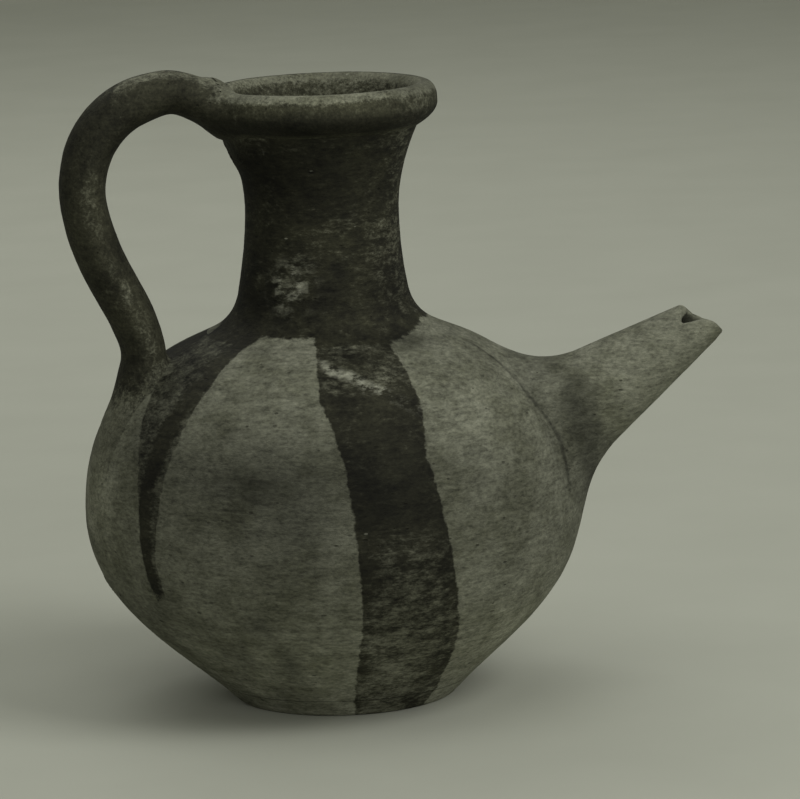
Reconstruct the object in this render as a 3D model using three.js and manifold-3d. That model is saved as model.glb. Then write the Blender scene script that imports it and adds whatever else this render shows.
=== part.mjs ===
// Side-spouted jug of painted earthenware, built from the members that a potter lutes together.
// Millimetres, +Z up. The origin is the centre of the base on the surface that the jug stands on.
// +X points along the pouring spout, the strap handle stands on the -X side.

import * as THREE from 'three';
import { mergeVertices } from 'three/addons/utils/BufferGeometryUtils.js';
import Module from 'manifold-3d';

const wasm = await Module();
wasm.setup();

// Driving dimensions of the thrown outline: radius from the axis, height above the base.
const base_radius = 39.6;
const base_thickness = 7;
const flare_angle = 49; // degrees, rise of the lower wall off the base
const flare_length = 25; // how far the lower wall stays a straight cone
const belly_radius = 89.4;
const belly_height = 69.5;
const belly_fullness_below = 34;
const belly_fullness_above = 35;
const shoulder_radius = 50.6;
const shoulder_height = 130.5;
const shoulder_angle = 23.5; // degrees, slope of the shoulder where it runs up to the neck
const shoulder_fullness = 20.7;
const neck_seat_rise = 2.4; // from the end of the shoulder curve up to the ring that carries the neck
const neck_foot_radius = 32.3;
const neck_foot_lean = 1.2; // how far the neck draws in over its first third
const neck_foot_hold = 0.27; // share of the neck's rise over which its foot keeps that line
const neck_waist_radius = 27.6;
const neck_waist_hold = 0.43; // share of the rise over which the neck nears its waist
const throat_rise = 23.6; // from the waist of the neck up to the root of the rim
const throat_hold = 0.34; // share of that rise over which the throat stays upright
const throat_lean = 0.56; // share of the throat's flare that its last stretch takes
const throat_lean_rise = 0.3; // and the share of its rise
const lip_root_radius = 34.5;
const lip_radius = 41.8;
const crest_radius = 36.9;
const crest_height = 222.1;
const rim_depth = 15.5; // from the crest down to the root of the rim
const lip_depth = 7.3; // from the crest down to the rim's widest ring
const lip_underside = 4; // how far out the roll swings before it turns up
const lip_underside_rise = 2.4; // and how far it climbs there
const lip_shoulder_hold = 0.55; // share of lip_depth over which the roll stays upright
const throat_ease = 2.6; // how far the inner side of the roll leans out into the mouth
const throat_ease_drop = 4; // and how far below the crest it does
const lip_fullness = 3.5;
const body_wall = 6;
const neck_ring_depth = 4.5; // upright wall of the ring under the neck
const neck_wall = 5.2;
const coil_height = 16;
const coil_edge = 0.6; // thickness where the neck coil is smoothed out on the neck
const coil_run = 8; // how far the coil follows the slope of the shoulder
const coil_hollow = 0.38; // share of coil_height at which its hollow starts to turn up

// The thrown members drift off the upright by hand: the axis bows towards the handle.
const axis_bow = 2.8;
const axis_bow_height = 127.6;

// Strap handle, in an upright plane turned from -X towards the front.
const handle_turn = 15; // degrees
const handle_drift = 2.13; // the axis has bowed this far towards -X where the strap stands
const handle_thickness = 16;
const handle_width = 23;
const handle_reach = 87.3; // from the axis to the centre of the strap at its furthest
const handle_reach_drop = 32.1; // from the rim's crest down to the furthest point
const handle_crown_reach = 56;
const handle_spring_out = 6.1; // where the strap springs clear: out from the lip,
const handle_spring_drop = 1.1; // and its centre below the crest
const handle_bend_in = 15.8; // outer bend under the crown, in from the furthest reach
const handle_bend_drop = 4.8;
const handle_back_in = 4.7; // back of the strap above its furthest reach
const handle_back_rise = 16.6;
const handle_shin_in = 4.8; // and below it
const handle_shin_drop = 22;
const handle_calf_out = 3.3; // just above the ankle
const handle_calf_rise = 14;
const handle_crown_rise = 0.7; // centre of the crown above the rim's crest
const handle_head_height = 27.5; // the strap spreads to this where it is pressed on rim and neck
const handle_head_width = 28;
const handle_head_reach = 31.4; // middle of the pressed-on head, from the axis
const handle_head_sink = 7.5; // the uncut strap runs this far in towards the axis
const handle_head_lean = 4.1; // and down by this much
const handle_root_in = 1.7; // where the head begins to narrow: in from halfway to the lip,
const handle_root_height = 20.4; // and how high it still is there
const handle_twist_run = 14; // beyond the lip, the sections turn square over this run
const handle_foot_share = 0.86; // share of the strap's run at which it starts to widen to the tail
const handle_ankle_stand = 11.5; // centre of the strap off the shoulder, measured level
const handle_ankle_height = 128;
const handle_toe_height = 112;
const handle_toe_thickness = 19;
const tail_length = 44;
const tail_width = 30;
const tail_thickness = 2.4;
const tail_overlap = 6; // the tail starts this far above the foot of the strap
const tail_edge = 0.35; // thickness at its thinned edges
const tail_fading = 0.8; // share of its width squared and of its thickness lost by its end

// Tubular spout.
const spout_height = 98.3; // where its axis meets the wall's outside
const spout_angle = 32.7; // degrees above level
const spout_root_radius = 20.4;
const spout_tip_radius = 7.5;
const spout_reach = 66.8; // wall to the end of the pouring lip, along the axis
const spout_mouth_setback = 7.6; // the closed tube ends this far short of the lip
const lip_cut_drop = 6.6; // how far the upper half of the tube is cut down at its mouth
const lip_cut_run = 0.5; // how far along the axis that step takes
const lip_trough_depth = 2.9; // the open lip ends this far below the axis,
const lip_trough_back = 2.2; // and this far short of the spout's reach
const nose_round = 1.8; // length over which the lip's nose is rounded off,
const nose_narrowing = 2.2; // how much narrower it ends,
const nose_bulge = 0.4; // and how full it stays
const spout_bore_root_radius = 11;
const spout_bore_tip_radius = 3.7;
const spout_bore_tip_length = 4; // straight end of the bore, up to the mouth
const wall_hole_radius = 8;
const collar_length = 12.5;
const collar_spread = 9.5; // how far the collar reaches out over the wall, beyond the spout
const collar_edge = 0.5; // thickness where it is smoothed out on the spout
const collar_hollow = 1.2; // thickness in its hollow,
const collar_hollow_at = 5; // and where along the axis that lies
const collar_skirt_in = 4.3; // the skirt curves in over the wall by this much
const collar_skirt_rise = 8; // and climbs this far off its edge
const collar_drop = 13; // how far back its edge lies, measured along the spout's axis

const seat_gap = 0.3; // clearance between curved faces that are luted together

// How finely curves are divided.
const body_facets = 60;
const neck_facets = 48;
const spout_facets = 32;
const handle_facets = 16;
const handle_steps = 34;
const curve_steps = 9;
const tail_steps = 10;
const tail_facets = 6;
const neck_steps = 5;
const lip_steps = 4;
const coil_steps = 7;

const rad = THREE.MathUtils.degToRad;
const point = (x, y) => new THREE.Vector2(x, y);
const axisShift = (z) => -axis_bow * (1 - ((z - axis_bow_height) / axis_bow_height) ** 2);

// Heights that follow from the crest, so that neck, rim and handle keep together.
const lip_height = crest_height - lip_depth;
const lip_root_height = crest_height - rim_depth;
const neck_waist_height = lip_root_height - throat_rise;
const handle_reach_height = crest_height - handle_reach_drop;

// Outline curves, radius against height, from the base up.
const neck_seat_height = shoulder_height + neck_seat_rise;
const coil_radius = shoulder_radius - neck_seat_rise / Math.tan(rad(shoulder_angle));
const shoulder_dir = point(-Math.cos(rad(shoulder_angle)), Math.sin(rad(shoulder_angle)));

const lower_curve = new THREE.CubicBezierCurve(
  point(base_radius, 0),
  point(
    base_radius + flare_length * Math.cos(rad(flare_angle)),
    flare_length * Math.sin(rad(flare_angle)),
  ),
  point(belly_radius, belly_height - belly_fullness_below),
  point(belly_radius, belly_height),
);

const upper_curve = new THREE.CubicBezierCurve(
  point(belly_radius, belly_height),
  point(belly_radius, belly_height + belly_fullness_above),
  point(shoulder_radius, shoulder_height).addScaledVector(shoulder_dir, -shoulder_fullness),
  point(shoulder_radius, shoulder_height),
);

const neck_rise = neck_waist_height - neck_seat_height;
const lower_neck_curve = new THREE.CubicBezierCurve(
  point(neck_foot_radius, neck_seat_height),
  point(neck_foot_radius - neck_foot_lean, neck_seat_height + neck_foot_hold * neck_rise),
  point(neck_waist_radius, neck_seat_height + (1 - neck_waist_hold) * neck_rise),
  point(neck_waist_radius, neck_waist_height),
);

const throat_flare = lip_root_radius - neck_waist_radius;
const upper_neck_curve = new THREE.CubicBezierCurve(
  point(neck_waist_radius, neck_waist_height),
  point(neck_waist_radius, neck_waist_height + throat_hold * throat_rise),
  point(lip_root_radius - throat_lean * throat_flare, lip_root_height - throat_lean_rise * throat_rise),
  point(lip_root_radius, lip_root_height),
);

// Height against radius of a curve that climbs steadily: the parameter at a given height.
function parameterAtHeight(curve, height) {
  let low = 0;
  let high = 1;
  for (let step = 0; step < 40; step += 1) {
    const middle = (low + high) / 2;
    if (curve.getPoint(middle).y < height) low = middle;
    else high = middle;
  }
  return (low + high) / 2;
}

function radiusAtHeight(curve, height) {
  return curve.getPoint(parameterAtHeight(curve, height)).x;
}

// Points of a curve between two parameters, moved inwards by a wall thickness.
function offsetPoints(curve, from, to, steps, inwards = 0) {
  const points = [];
  for (let step = 0; step <= steps; step += 1) {
    const t = from + ((to - from) * step) / steps;
    const place = curve.getPoint(t);
    const along = curve.getTangent(t);
    points.push(point(place.x - along.y * inwards, place.y + along.x * inwards));
  }
  return points;
}

// Flips a closed geometry whose faces point inwards.
function facingOut(geometry) {
  const place = geometry.getAttribute('position');
  const index = geometry.getIndex().array;
  const corners = [new THREE.Vector3(), new THREE.Vector3(), new THREE.Vector3()];
  let volume = 0;
  for (let face = 0; face < index.length; face += 3) {
    corners.forEach((corner, side) => corner.fromBufferAttribute(place, index[face + side]));
    volume += corners[0].dot(corners[1].clone().cross(corners[2])) / 6;
  }
  if (volume < 0) {
    for (let face = 0; face < index.length; face += 3) {
      [index[face + 1], index[face + 2]] = [index[face + 2], index[face + 1]];
    }
  }
  return geometry;
}

function closed(geometry) {
  geometry.deleteAttribute('normal');
  geometry.deleteAttribute('uv');
  return facingOut(mergeVertices(geometry, 1e-4));
}

// A profile that closes on itself, turned round the vessel's bowed axis.
function turned(profile, facets) {
  const geometry = new THREE.LatheGeometry([...profile, profile[0].clone()], facets);
  geometry.rotateX(Math.PI / 2);
  const place = geometry.getAttribute('position');
  for (let i = 0; i < place.count; i += 1) {
    place.setX(i, place.getX(i) + axisShift(place.getZ(i)));
  }
  return closed(geometry);
}

// A skin through rings of equal count, closed with a flat fan at each end.
function lofted(rings) {
  const count = rings[0].length;
  const places = rings.flat().flatMap((p) => [p.x, p.y, p.z]);
  const index = [];
  for (let ring = 0; ring < rings.length - 1; ring += 1) {
    for (let i = 0; i < count; i += 1) {
      const a = ring * count + i;
      const b = ring * count + ((i + 1) % count);
      index.push(a, b, b + count, a, b + count, a + count);
    }
  }
  for (const [ring, flip] of [[0, false], [rings.length - 1, true]]) {
    const middle = new THREE.Vector3();
    rings[ring].forEach((p) => middle.addScaledVector(p, 1 / count));
    const centre = places.length / 3;
    places.push(middle.x, middle.y, middle.z);
    for (let i = 0; i < count; i += 1) {
      const a = ring * count + i;
      const b = ring * count + ((i + 1) % count);
      if (flip) index.push(centre, a, b);
      else index.push(centre, b, a);
    }
  }
  const geometry = new THREE.BufferGeometry();
  geometry.setAttribute('position', new THREE.Float32BufferAttribute(places, 3));
  geometry.setIndex(index);
  return facingOut(geometry);
}

function toSolid(geometry) {
  return new wasm.Manifold(new wasm.Mesh({
    numProp: 3,
    vertProperties: new Float32Array(geometry.getAttribute('position').array),
    triVerts: new Uint32Array(geometry.getIndex().array),
  }));
}

function toGeometry(solid) {
  const mesh = solid.getMesh();
  const geometry = new THREE.BufferGeometry();
  geometry.setAttribute('position', new THREE.BufferAttribute(mesh.vertProperties, mesh.numProp));
  geometry.setIndex(new THREE.BufferAttribute(mesh.triVerts, 1));
  return geometry;
}

// The largest body of a cut solid: a cut may leave slivers beside it.
function mainBody(solid) {
  return solid.decompose().reduce((best, next) => (next.volume() > best.volume() ? next : best));
}

// Base: a flat disc whose edge already follows the cone of the lower wall.
function baseDisc() {
  const top = parameterAtHeight(lower_curve, base_thickness);
  const edge = offsetPoints(lower_curve, 0, top, 2);
  return turned([point(0, 0), ...edge, point(0, base_thickness)], body_facets);
}

// Lower bowl: stands on the base disc and opens out to the belly seam.
function lowerBody() {
  const foot = parameterAtHeight(lower_curve, base_thickness);
  const outside = offsetPoints(lower_curve, foot, 1, curve_steps);
  const inside = offsetPoints(lower_curve, foot, 1, curve_steps - 1, body_wall)
    .filter((p) => p.y > base_thickness && p.y < belly_height)
    .reverse();
  const foot_width = body_wall / Math.sin(rad(flare_angle));
  return turned([
    ...outside,
    point(belly_radius - body_wall, belly_height),
    ...inside,
    point(outside[0].x - foot_width, base_thickness),
  ], body_facets);
}

// Upper bowl: closes from the belly seam to the ring that carries the neck.
const neck_bore_radius = neck_foot_radius - neck_wall;
function upperBody() {
  const outside = [
    ...offsetPoints(upper_curve, 0, 1, curve_steps),
    point(coil_radius, neck_seat_height),
  ];
    const inside = offsetPoints(upper_curve, 0, 1, curve_steps - 1, body_wall)
    .filter((p) => p.y > belly_height && p.y < neck_seat_height - neck_ring_depth)
    .reverse();
  return turned([
    ...outside,
    point(neck_bore_radius, neck_seat_height),
    point(neck_bore_radius, neck_seat_height - neck_ring_depth),
    ...inside,
    point(belly_radius - body_wall, belly_height),
  ], body_facets);
}

// Neck: a waisted tube between the shoulder ring and the rim.
function neckTube() {
  const outside = [
    ...offsetPoints(lower_neck_curve, 0, 1, neck_steps),
    ...offsetPoints(upper_neck_curve, 0, 1, lip_steps).slice(1),
  ];
  const inside = outside.map((p) => point(p.x - neck_wall, p.y)).reverse();
  return turned([...outside, ...inside], neck_facets);
}

// Neck coil: a roll of clay smoothed into the corner between shoulder and neck.
const coil_top = neck_seat_height + coil_height;
const besideNeck = (height) => radiusAtHeight(lower_neck_curve, height) + seat_gap;
const coil_curve = new THREE.CubicBezierCurve(
  point(coil_radius, neck_seat_height),
  point(coil_radius, neck_seat_height).addScaledVector(shoulder_dir, coil_run),
  point(besideNeck(neck_seat_height) - coil_edge, neck_seat_height + coil_hollow * coil_height),
  point(besideNeck(coil_top) + coil_edge, coil_top),
);
function neckCoil() {
  const outside = offsetPoints(coil_curve, 0, 1, coil_steps);
  const inside = [3, 2, 1, 0].map((third) => {
    const height = neck_seat_height + (third / 3) * coil_height;
    return point(besideNeck(height), height);
  });
  return turned([...outside, ...inside], neck_facets);
}

// Rim: a rounded roll, turned outwards over the neck.
const lip_curves = [
  new THREE.CubicBezierCurve(
    point(lip_root_radius, lip_root_height),
    point(lip_root_radius + lip_underside, lip_root_height + lip_underside_rise),
    point(lip_radius, lip_height - lip_fullness),
    point(lip_radius, lip_height),
  ),
  new THREE.CubicBezierCurve(
    point(lip_radius, lip_height),
    point(lip_radius, lip_height + lip_shoulder_hold * lip_depth),
    point(crest_radius + lip_fullness, crest_height),
    point(crest_radius, crest_height),
  ),
];
function rimRoll() {
  const throat_radius = lip_root_radius - neck_wall;
  const inner_curve = new THREE.CubicBezierCurve(
    point(crest_radius, crest_height),
    point(crest_radius - lip_fullness, crest_height),
    point(throat_radius + throat_ease, crest_height - throat_ease_drop),
    point(throat_radius, lip_root_height),
  );
  return turned([
    ...offsetPoints(lip_curves[0], 0, 1, lip_steps),
    ...offsetPoints(lip_curves[1], 0, 1, lip_steps).slice(1),
    ...offsetPoints(inner_curve, 0, 1, lip_steps).slice(1),
  ], neck_facets);
}

// Everything inside the vessel's outside face, grown by the seat gap: what is luted on is cut by it.
function vesselEnvelope() {
  const above_coil = parameterAtHeight(lower_neck_curve, coil_top + 1);
  const grow = -seat_gap;
  const outside = [
    ...offsetPoints(lower_curve, 0, 1, curve_steps * 2, grow),
    ...offsetPoints(upper_curve, 0, 1, curve_steps * 2, grow).slice(1),
    ...offsetPoints(coil_curve, 0, 1, coil_steps, grow),
    ...offsetPoints(lower_neck_curve, above_coil, 1, neck_steps, grow),
    ...offsetPoints(upper_neck_curve, 0, 1, lip_steps, grow).slice(1),
    ...offsetPoints(lip_curves[0], 0, 1, lip_steps, grow).slice(1),
    ...offsetPoints(lip_curves[1], 0, 1, lip_steps, grow).slice(1),
  ];
  const profile = [point(0, -seat_gap), ...outside, point(0, crest_height + seat_gap)];
  return toSolid(turned(profile, body_facets));
}

// A point of the handle's upright plane: distance from the axis, height, sideways off the plane.
function inHandlePlane(reach, height, sideways = 0) {
  const along = rad(handle_turn);
  return new THREE.Vector3(
    -reach * Math.cos(along) + sideways * Math.sin(along) - handle_drift,
    -reach * Math.sin(along) - sideways * Math.cos(along),
    height,
  );
}

// Handle: an oval strap from rim and neck, over a round crown and in to the shoulder.
// Each station holds the distance from the axis, the height and half the strap's thickness.
function strapHandle(grown = 0) {
  const half = handle_thickness / 2;
  const head_half = handle_head_height / 2;
  const ankle = radiusAtHeight(upper_curve, handle_ankle_height) + handle_ankle_stand;
  const toe = radiusAtHeight(upper_curve, handle_toe_height) - handle_toe_thickness / 4;
  const crown_height = crest_height + handle_crown_rise;
  const head_height = crest_height - head_half;
  const root_half = handle_root_height / 2;
  const root_reach = (handle_head_reach + lip_radius) / 2 - handle_root_in;
  const stations = [
    [handle_head_reach - handle_head_sink, head_height - handle_head_lean, head_half],
    [handle_head_reach, head_height, head_half],
    [root_reach, crown_height - root_half, root_half],
    [lip_radius + handle_spring_out, crest_height - handle_spring_drop, half],
    [handle_crown_reach, crown_height, half],
    [handle_reach - handle_bend_in, crown_height - handle_bend_drop, half],
    [handle_reach - handle_back_in, handle_reach_height + handle_back_rise, half],
    [handle_reach, handle_reach_height, half],
    [handle_reach - handle_shin_in, handle_reach_height - handle_shin_drop, half],
    [ankle + handle_calf_out, handle_ankle_height + handle_calf_rise, half],
    [ankle, handle_ankle_height, half],
    [toe, handle_toe_height, handle_toe_thickness / 2],
  ].map((station) => new THREE.Vector3(...station));
  const route = new THREE.CatmullRomCurve3(stations, false, 'centripetal');

  const rings = [];
  for (let step = 0; step <= handle_steps; step += 1) {
    const t = step / handle_steps;
    const place = route.getPointAt(t);
    const along = route.getTangentAt(t);
    // The head is cut upright along rim and neck; beyond the lip the sections turn square.
    const upright = THREE.MathUtils.clamp(1 - (place.x - lip_radius) / handle_twist_run, 0, 1)
      * (t < 0.5);
    const across = new THREE.Vector2(-along.y, along.x).normalize()
      .lerp(new THREE.Vector2(0, 1), upright).normalize();
    const foot = THREE.MathUtils.smoothstep(t, handle_foot_share, 1);
    const half_wide = (handle_width + upright * (handle_head_width - handle_width)
      + foot * (tail_width - handle_width)) / 2;
    const ring = [];
    for (let i = 0; i < handle_facets; i += 1) {
      const turn = (2 * Math.PI * i) / handle_facets;
      const thick = (place.z + grown) * Math.cos(turn);
      ring.push(inHandlePlane(
        place.x + across.x * thick,
        place.y + across.y * thick,
        (half_wide + grown) * Math.sin(turn),
      ));
    }
    rings.push(ring);
  }
  return toSolid(lofted(rings));
}

// Handle tail: the clay dragged down the belly from the foot of the strap.
function handleTail(envelope) {
  const top = handle_toe_height + tail_overlap;
  const rings = [];
  for (let step = 0; step <= tail_steps; step += 1) {
    const t = step / tail_steps;
    const height = top - t * tail_length;
    const curve = height > belly_height ? upper_curve : lower_curve;
    const reach = radiusAtHeight(curve, height);
    const half_wide = (tail_width / 2) * Math.sqrt(1 - tail_fading * t * t);
    const proud = tail_thickness * (1 - tail_fading * t * t);
    const ring = [];
    for (let i = 0; i <= tail_facets; i += 1) {
      const share = (2 * i) / tail_facets - 1;
      const angle = (share * half_wide) / reach;
      const out = reach + seat_gap + tail_edge + proud * (1 - share ** 4);
      ring.push(inHandlePlane(out * Math.cos(angle), height, out * Math.sin(angle)));
    }
    for (let i = tail_facets; i >= 0; i -= 1) {
      const share = (2 * i) / tail_facets - 1;
      const angle = (share * half_wide) / reach;
      const out = reach - body_wall / 2;
      ring.push(inHandlePlane(out * Math.cos(angle), height, out * Math.sin(angle)));
    }
    rings.push(ring);
  }
  const handle_seat = strapHandle(seat_gap);
  return mainBody(toSolid(lofted(rings)).subtract(envelope).subtract(handle_seat));
}

// Frame of the spout: its axis leaves the outside of the wall at spout_height.
const spout_start = new THREE.Vector3(
  radiusAtHeight(upper_curve, spout_height) + axisShift(spout_height),
  0,
  spout_height,
);
const spout_spin = new THREE.Matrix4()
  .makeTranslation(spout_start.x, 0, spout_start.z)
  .multiply(new THREE.Matrix4().makeRotationY(Math.PI / 2 - rad(spout_angle)));

// A profile of radius against distance along the spout's axis, turned round that axis.
function aboutSpout(profile) {
  const geometry = new THREE.LatheGeometry([...profile, profile[0].clone()], spout_facets);
  geometry.rotateX(Math.PI / 2);
  geometry.applyMatrix4(spout_spin);
  return toSolid(closed(geometry));
}

const spout_taper = (spout_root_radius - spout_tip_radius) / spout_reach;
const spoutRadius = (along) => spout_root_radius - spout_taper * along;
const sunk = 26; // how far the uncut spout reaches back into the wall before it is cut
const clear = 20; // how far a cut runs past the piece that it cuts

// Spout: a tapered tube with a cut-back mouth and an open pouring lip.
function pouringSpout(envelope) {
  const mouth = spout_reach - spout_mouth_setback;
  const outside = aboutSpout([
    point(0, -sunk),
    point(spoutRadius(0), -sunk),
    point(spoutRadius(0), 0),
    point(spoutRadius(mouth * 0.5), mouth * 0.5),
    point(spoutRadius(mouth), mouth),
    point(spoutRadius(spout_reach) - nose_bulge, spout_reach - nose_round),
    point(spoutRadius(spout_reach) - nose_narrowing, spout_reach),
    point(0, spout_reach + nose_bulge),
  ]);
  const bore = aboutSpout([
    point(0, -sunk - 1),
    point(spout_bore_root_radius, -sunk - 1),
    point(spout_bore_root_radius, 0),
    point(spout_bore_tip_radius, mouth - spout_bore_tip_length),
    point(spout_bore_tip_radius, spout_reach + clear),
    point(0, spout_reach + clear),
  ]);

  // The upper half is cut down at the mouth, so that the lower half runs on as a lip.
  const up = new THREE.Vector3(-Math.sin(rad(spout_angle)), 0, Math.cos(rad(spout_angle)));
  const out = new THREE.Vector3(Math.cos(rad(spout_angle)), 0, Math.sin(rad(spout_angle)));
  const at = (along, above) => spout_start.clone().addScaledVector(out, along)
    .addScaledVector(up, above);
  const corner = at(mouth, spoutRadius(mouth) + seat_gap);
  const step = at(mouth + lip_cut_run, spoutRadius(mouth) - lip_cut_drop);
  const lip = at(spout_reach - lip_trough_back, -lip_trough_depth);
  const nose = at(spout_reach + nose_bulge, nose_bulge - spoutRadius(spout_reach));
  const cut_outline = new THREE.Shape([
    point(corner.x, corner.z),
    point(step.x, step.z),
    point(lip.x, lip.z),
    point(nose.x, nose.z),
    point(nose.x + clear, nose.z),
    point(nose.x + clear, corner.z + clear),
    point(corner.x, corner.z + clear),
  ]);
  const depth = 6 * spout_tip_radius;
  const cut = new THREE.ExtrudeGeometry(cut_outline, { depth, bevelEnabled: false });
  cut.translate(0, 0, -depth / 2);
  cut.rotateX(Math.PI / 2);
  return mainBody(outside.subtract(bore).subtract(toSolid(closed(cut))).subtract(envelope));
}

// Collar: the coil of clay smoothed round the root of the spout, hollow-curved on to the wall.
function spoutCollar(envelope) {
  const flare = new THREE.CubicBezierCurve(
    point(spoutRadius(collar_length) + seat_gap + collar_edge, collar_length),
    point(spoutRadius(collar_hollow_at) + collar_hollow, collar_hollow_at),
    point(spout_root_radius + collar_skirt_in, collar_skirt_rise - collar_drop),
    point(spout_root_radius + collar_spread, -collar_drop),
  );
  const outline = flare.getPoints(coil_steps);
  const inner = (along) => spoutRadius(Math.max(along, 0)) + seat_gap;
  const ring = aboutSpout([
    ...outline,
    point(spout_root_radius + collar_spread, -sunk),
    point(inner(0), -sunk),
    point(inner(0), 0),
    point(inner(collar_length), collar_length),
  ]);
  return mainBody(ring.subtract(envelope));
}

const clay = { color: 0x62624f, roughness: 0.86, metalness: 0 };
const paint = { color: 0x2b2a1f, roughness: 0.72, metalness: 0 };
const worn = { color: 0x4a493b, roughness: 0.84, metalness: 0 };

const jug = new THREE.Group();
function addPiece(name, geometry, finish) {
  const mesh = new THREE.Mesh(geometry, new THREE.MeshStandardMaterial(finish));
  mesh.name = name;
  jug.add(mesh);
}

const envelope = vesselEnvelope();
const wall_hole = aboutSpout([
  point(0, -sunk),
  point(wall_hole_radius, -sunk),
  point(wall_hole_radius, sunk),
  point(0, sunk),
]);

addPiece('base_disc', baseDisc(), clay);
addPiece('lower_body', lowerBody(), clay);
addPiece('upper_body', toGeometry(toSolid(upperBody()).subtract(wall_hole)), clay);
addPiece('neck_coil', neckCoil(), paint);
addPiece('neck', neckTube(), paint);
addPiece('rim', rimRoll(), worn);
addPiece('handle', toGeometry(mainBody(strapHandle().subtract(envelope))), worn);
addPiece('handle_tail', toGeometry(handleTail(envelope)), worn);
addPiece('spout', toGeometry(pouringSpout(envelope)), clay);
addPiece('spout_collar', toGeometry(spoutCollar(envelope)), worn);

export default jug;
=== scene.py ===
import math
from functools import partial

import bpy
import numpy as np
from mathutils import Matrix, Vector


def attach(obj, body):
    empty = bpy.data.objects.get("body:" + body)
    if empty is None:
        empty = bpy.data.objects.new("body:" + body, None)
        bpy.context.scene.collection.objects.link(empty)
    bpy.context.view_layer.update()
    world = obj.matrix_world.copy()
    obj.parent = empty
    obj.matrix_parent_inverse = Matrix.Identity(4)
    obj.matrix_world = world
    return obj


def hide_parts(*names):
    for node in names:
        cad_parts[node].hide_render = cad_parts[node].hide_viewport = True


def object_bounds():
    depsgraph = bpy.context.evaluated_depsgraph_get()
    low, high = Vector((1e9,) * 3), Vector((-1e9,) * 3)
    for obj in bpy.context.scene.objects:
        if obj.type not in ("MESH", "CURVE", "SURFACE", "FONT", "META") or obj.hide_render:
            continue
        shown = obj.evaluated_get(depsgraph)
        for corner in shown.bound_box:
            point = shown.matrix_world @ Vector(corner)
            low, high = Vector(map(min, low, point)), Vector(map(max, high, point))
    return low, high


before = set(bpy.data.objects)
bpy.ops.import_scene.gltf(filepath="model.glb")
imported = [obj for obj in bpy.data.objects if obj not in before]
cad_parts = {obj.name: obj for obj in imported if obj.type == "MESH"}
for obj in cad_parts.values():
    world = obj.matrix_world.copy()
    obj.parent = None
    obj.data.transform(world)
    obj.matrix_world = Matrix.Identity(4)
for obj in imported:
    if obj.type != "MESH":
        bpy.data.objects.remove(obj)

# The looks of a side-spouted jug of painted earthenware. Shapes are worked out in millimetres,
# in the frame of the solids: +Z up, +X along the spout, the handle turned from -X to the front.
MM = 0.001
cad_low, cad_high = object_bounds()

# Thrown outline: radius from the axis and height above the base.
BASE_RADIUS = 39.6
BASE_THICKNESS = 7
FLARE_ANGLE = 49
FLARE_LENGTH = 25
BELLY_RADIUS = 89.4
BELLY_HEIGHT = 69.5
FULLNESS_BELOW = 34
FULLNESS_ABOVE = 35
SHOULDER_RADIUS = 50.6
SHOULDER_HEIGHT = 130.5
SHOULDER_ANGLE = 23.5
SHOULDER_FULLNESS = 20.7
SEAT_RISE = 2.4
FOOT_RADIUS = 33.0
FOOT_LEAN = 1.2
WAIST_RADIUS = 27.6
THROAT_RISE = 28.5
LIP_ROOT_RADIUS = 34.5
LIP_RADIUS = 41.8
CREST_RADIUS = 36.9
CREST_HEIGHT = 222.1
LIP_UNDERSIDE = 4
LIP_FULLNESS = 3.5
LIP_HEIGHT = CREST_HEIGHT - 7.3
LIP_ROOT_HEIGHT = CREST_HEIGHT - 15.5
WAIST_HEIGHT = LIP_ROOT_HEIGHT - THROAT_RISE
BODY_WALL = 6
NECK_WALL = 5.2
COIL_HEIGHT = 16
AXIS_BOW = 2.8
AXIS_BOW_HEIGHT = 127.6
NECK_LEAN = 0.35
NECK_LEAN_HEIGHTS = (150, 190)

# Strap handle.
HANDLE_TURN = math.radians(15)
HANDLE_HALF = 8.0
HANDLE_WIDTH = 23
HANDLE_HEAD_WIDTH = 28
HANDLE_HEAD_HALF = 13.75
HANDLE_HEAD_REACH = 31.4
HANDLE_REACH = 87.3
HANDLE_REACH_HEIGHT = CREST_HEIGHT - 32.1
HANDLE_CROWN_REACH = 56
HANDLE_CROWN_RISE = 0.7
HANDLE_ANKLE_STAND = 11.5
HANDLE_ANKLE_HEIGHT = 128
HANDLE_TOE_HEIGHT = 112
TAIL_END_HEIGHT = 66
HEAD_LEVEL = 190

# Where the hand pulled the strap out of its plain form (mm).
ARCH_SWELL = 0.8
BEND_SWELL = 0.2
ARM_SWELL = 0.7
ARM_DRAWN_IN = 0.40
ARM_DRAWN_IN_MORE = 0.35
CREST_BRIDGE = 1.2
HEAD_PARING = 1.8
ANKLE_PROUD = 0.8

# Tubular spout.
SPOUT_HEIGHT = 98.3
SPOUT_ANGLE = math.radians(32.7)
SPOUT_ROOT_RADIUS = 20.4
SPOUT_TIP_RADIUS = 7.5
SPOUT_REACH = 66.8
SPOUT_MOUTH = SPOUT_REACH - 7.6
BORE_ROOT_RADIUS = 11
BORE_TIP_RADIUS = 3.7
LIP_ROUNDING = 1.2
MOUTH_FLARE = 1.5
MOUTH_RADIUS = BORE_TIP_RADIUS + MOUTH_FLARE


# Curves and fields.

def bezier(a, b, c, d, steps=60):
    t = np.linspace(0, 1, steps + 1)[:, None]
    a, b, c, d = (np.asarray(p, float) for p in (a, b, c, d))
    return (1 - t) ** 3 * a + 3 * (1 - t) ** 2 * t * b + 3 * (1 - t) * t * t * c + t ** 3 * d


def resample(path, spacing):
    """Points an even distance apart along a path, its ends kept."""
    path = np.asarray(path, float)
    run = np.concatenate([[0], np.cumsum(np.linalg.norm(np.diff(path, axis=0), axis=1))])
    count = max(2, int(math.ceil(run[-1] / spacing)) + 1)
    wanted = np.linspace(0, run[-1], count)
    return np.stack([np.interp(wanted, run, path[:, i]) for i in range(path.shape[1])], 1)


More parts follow.
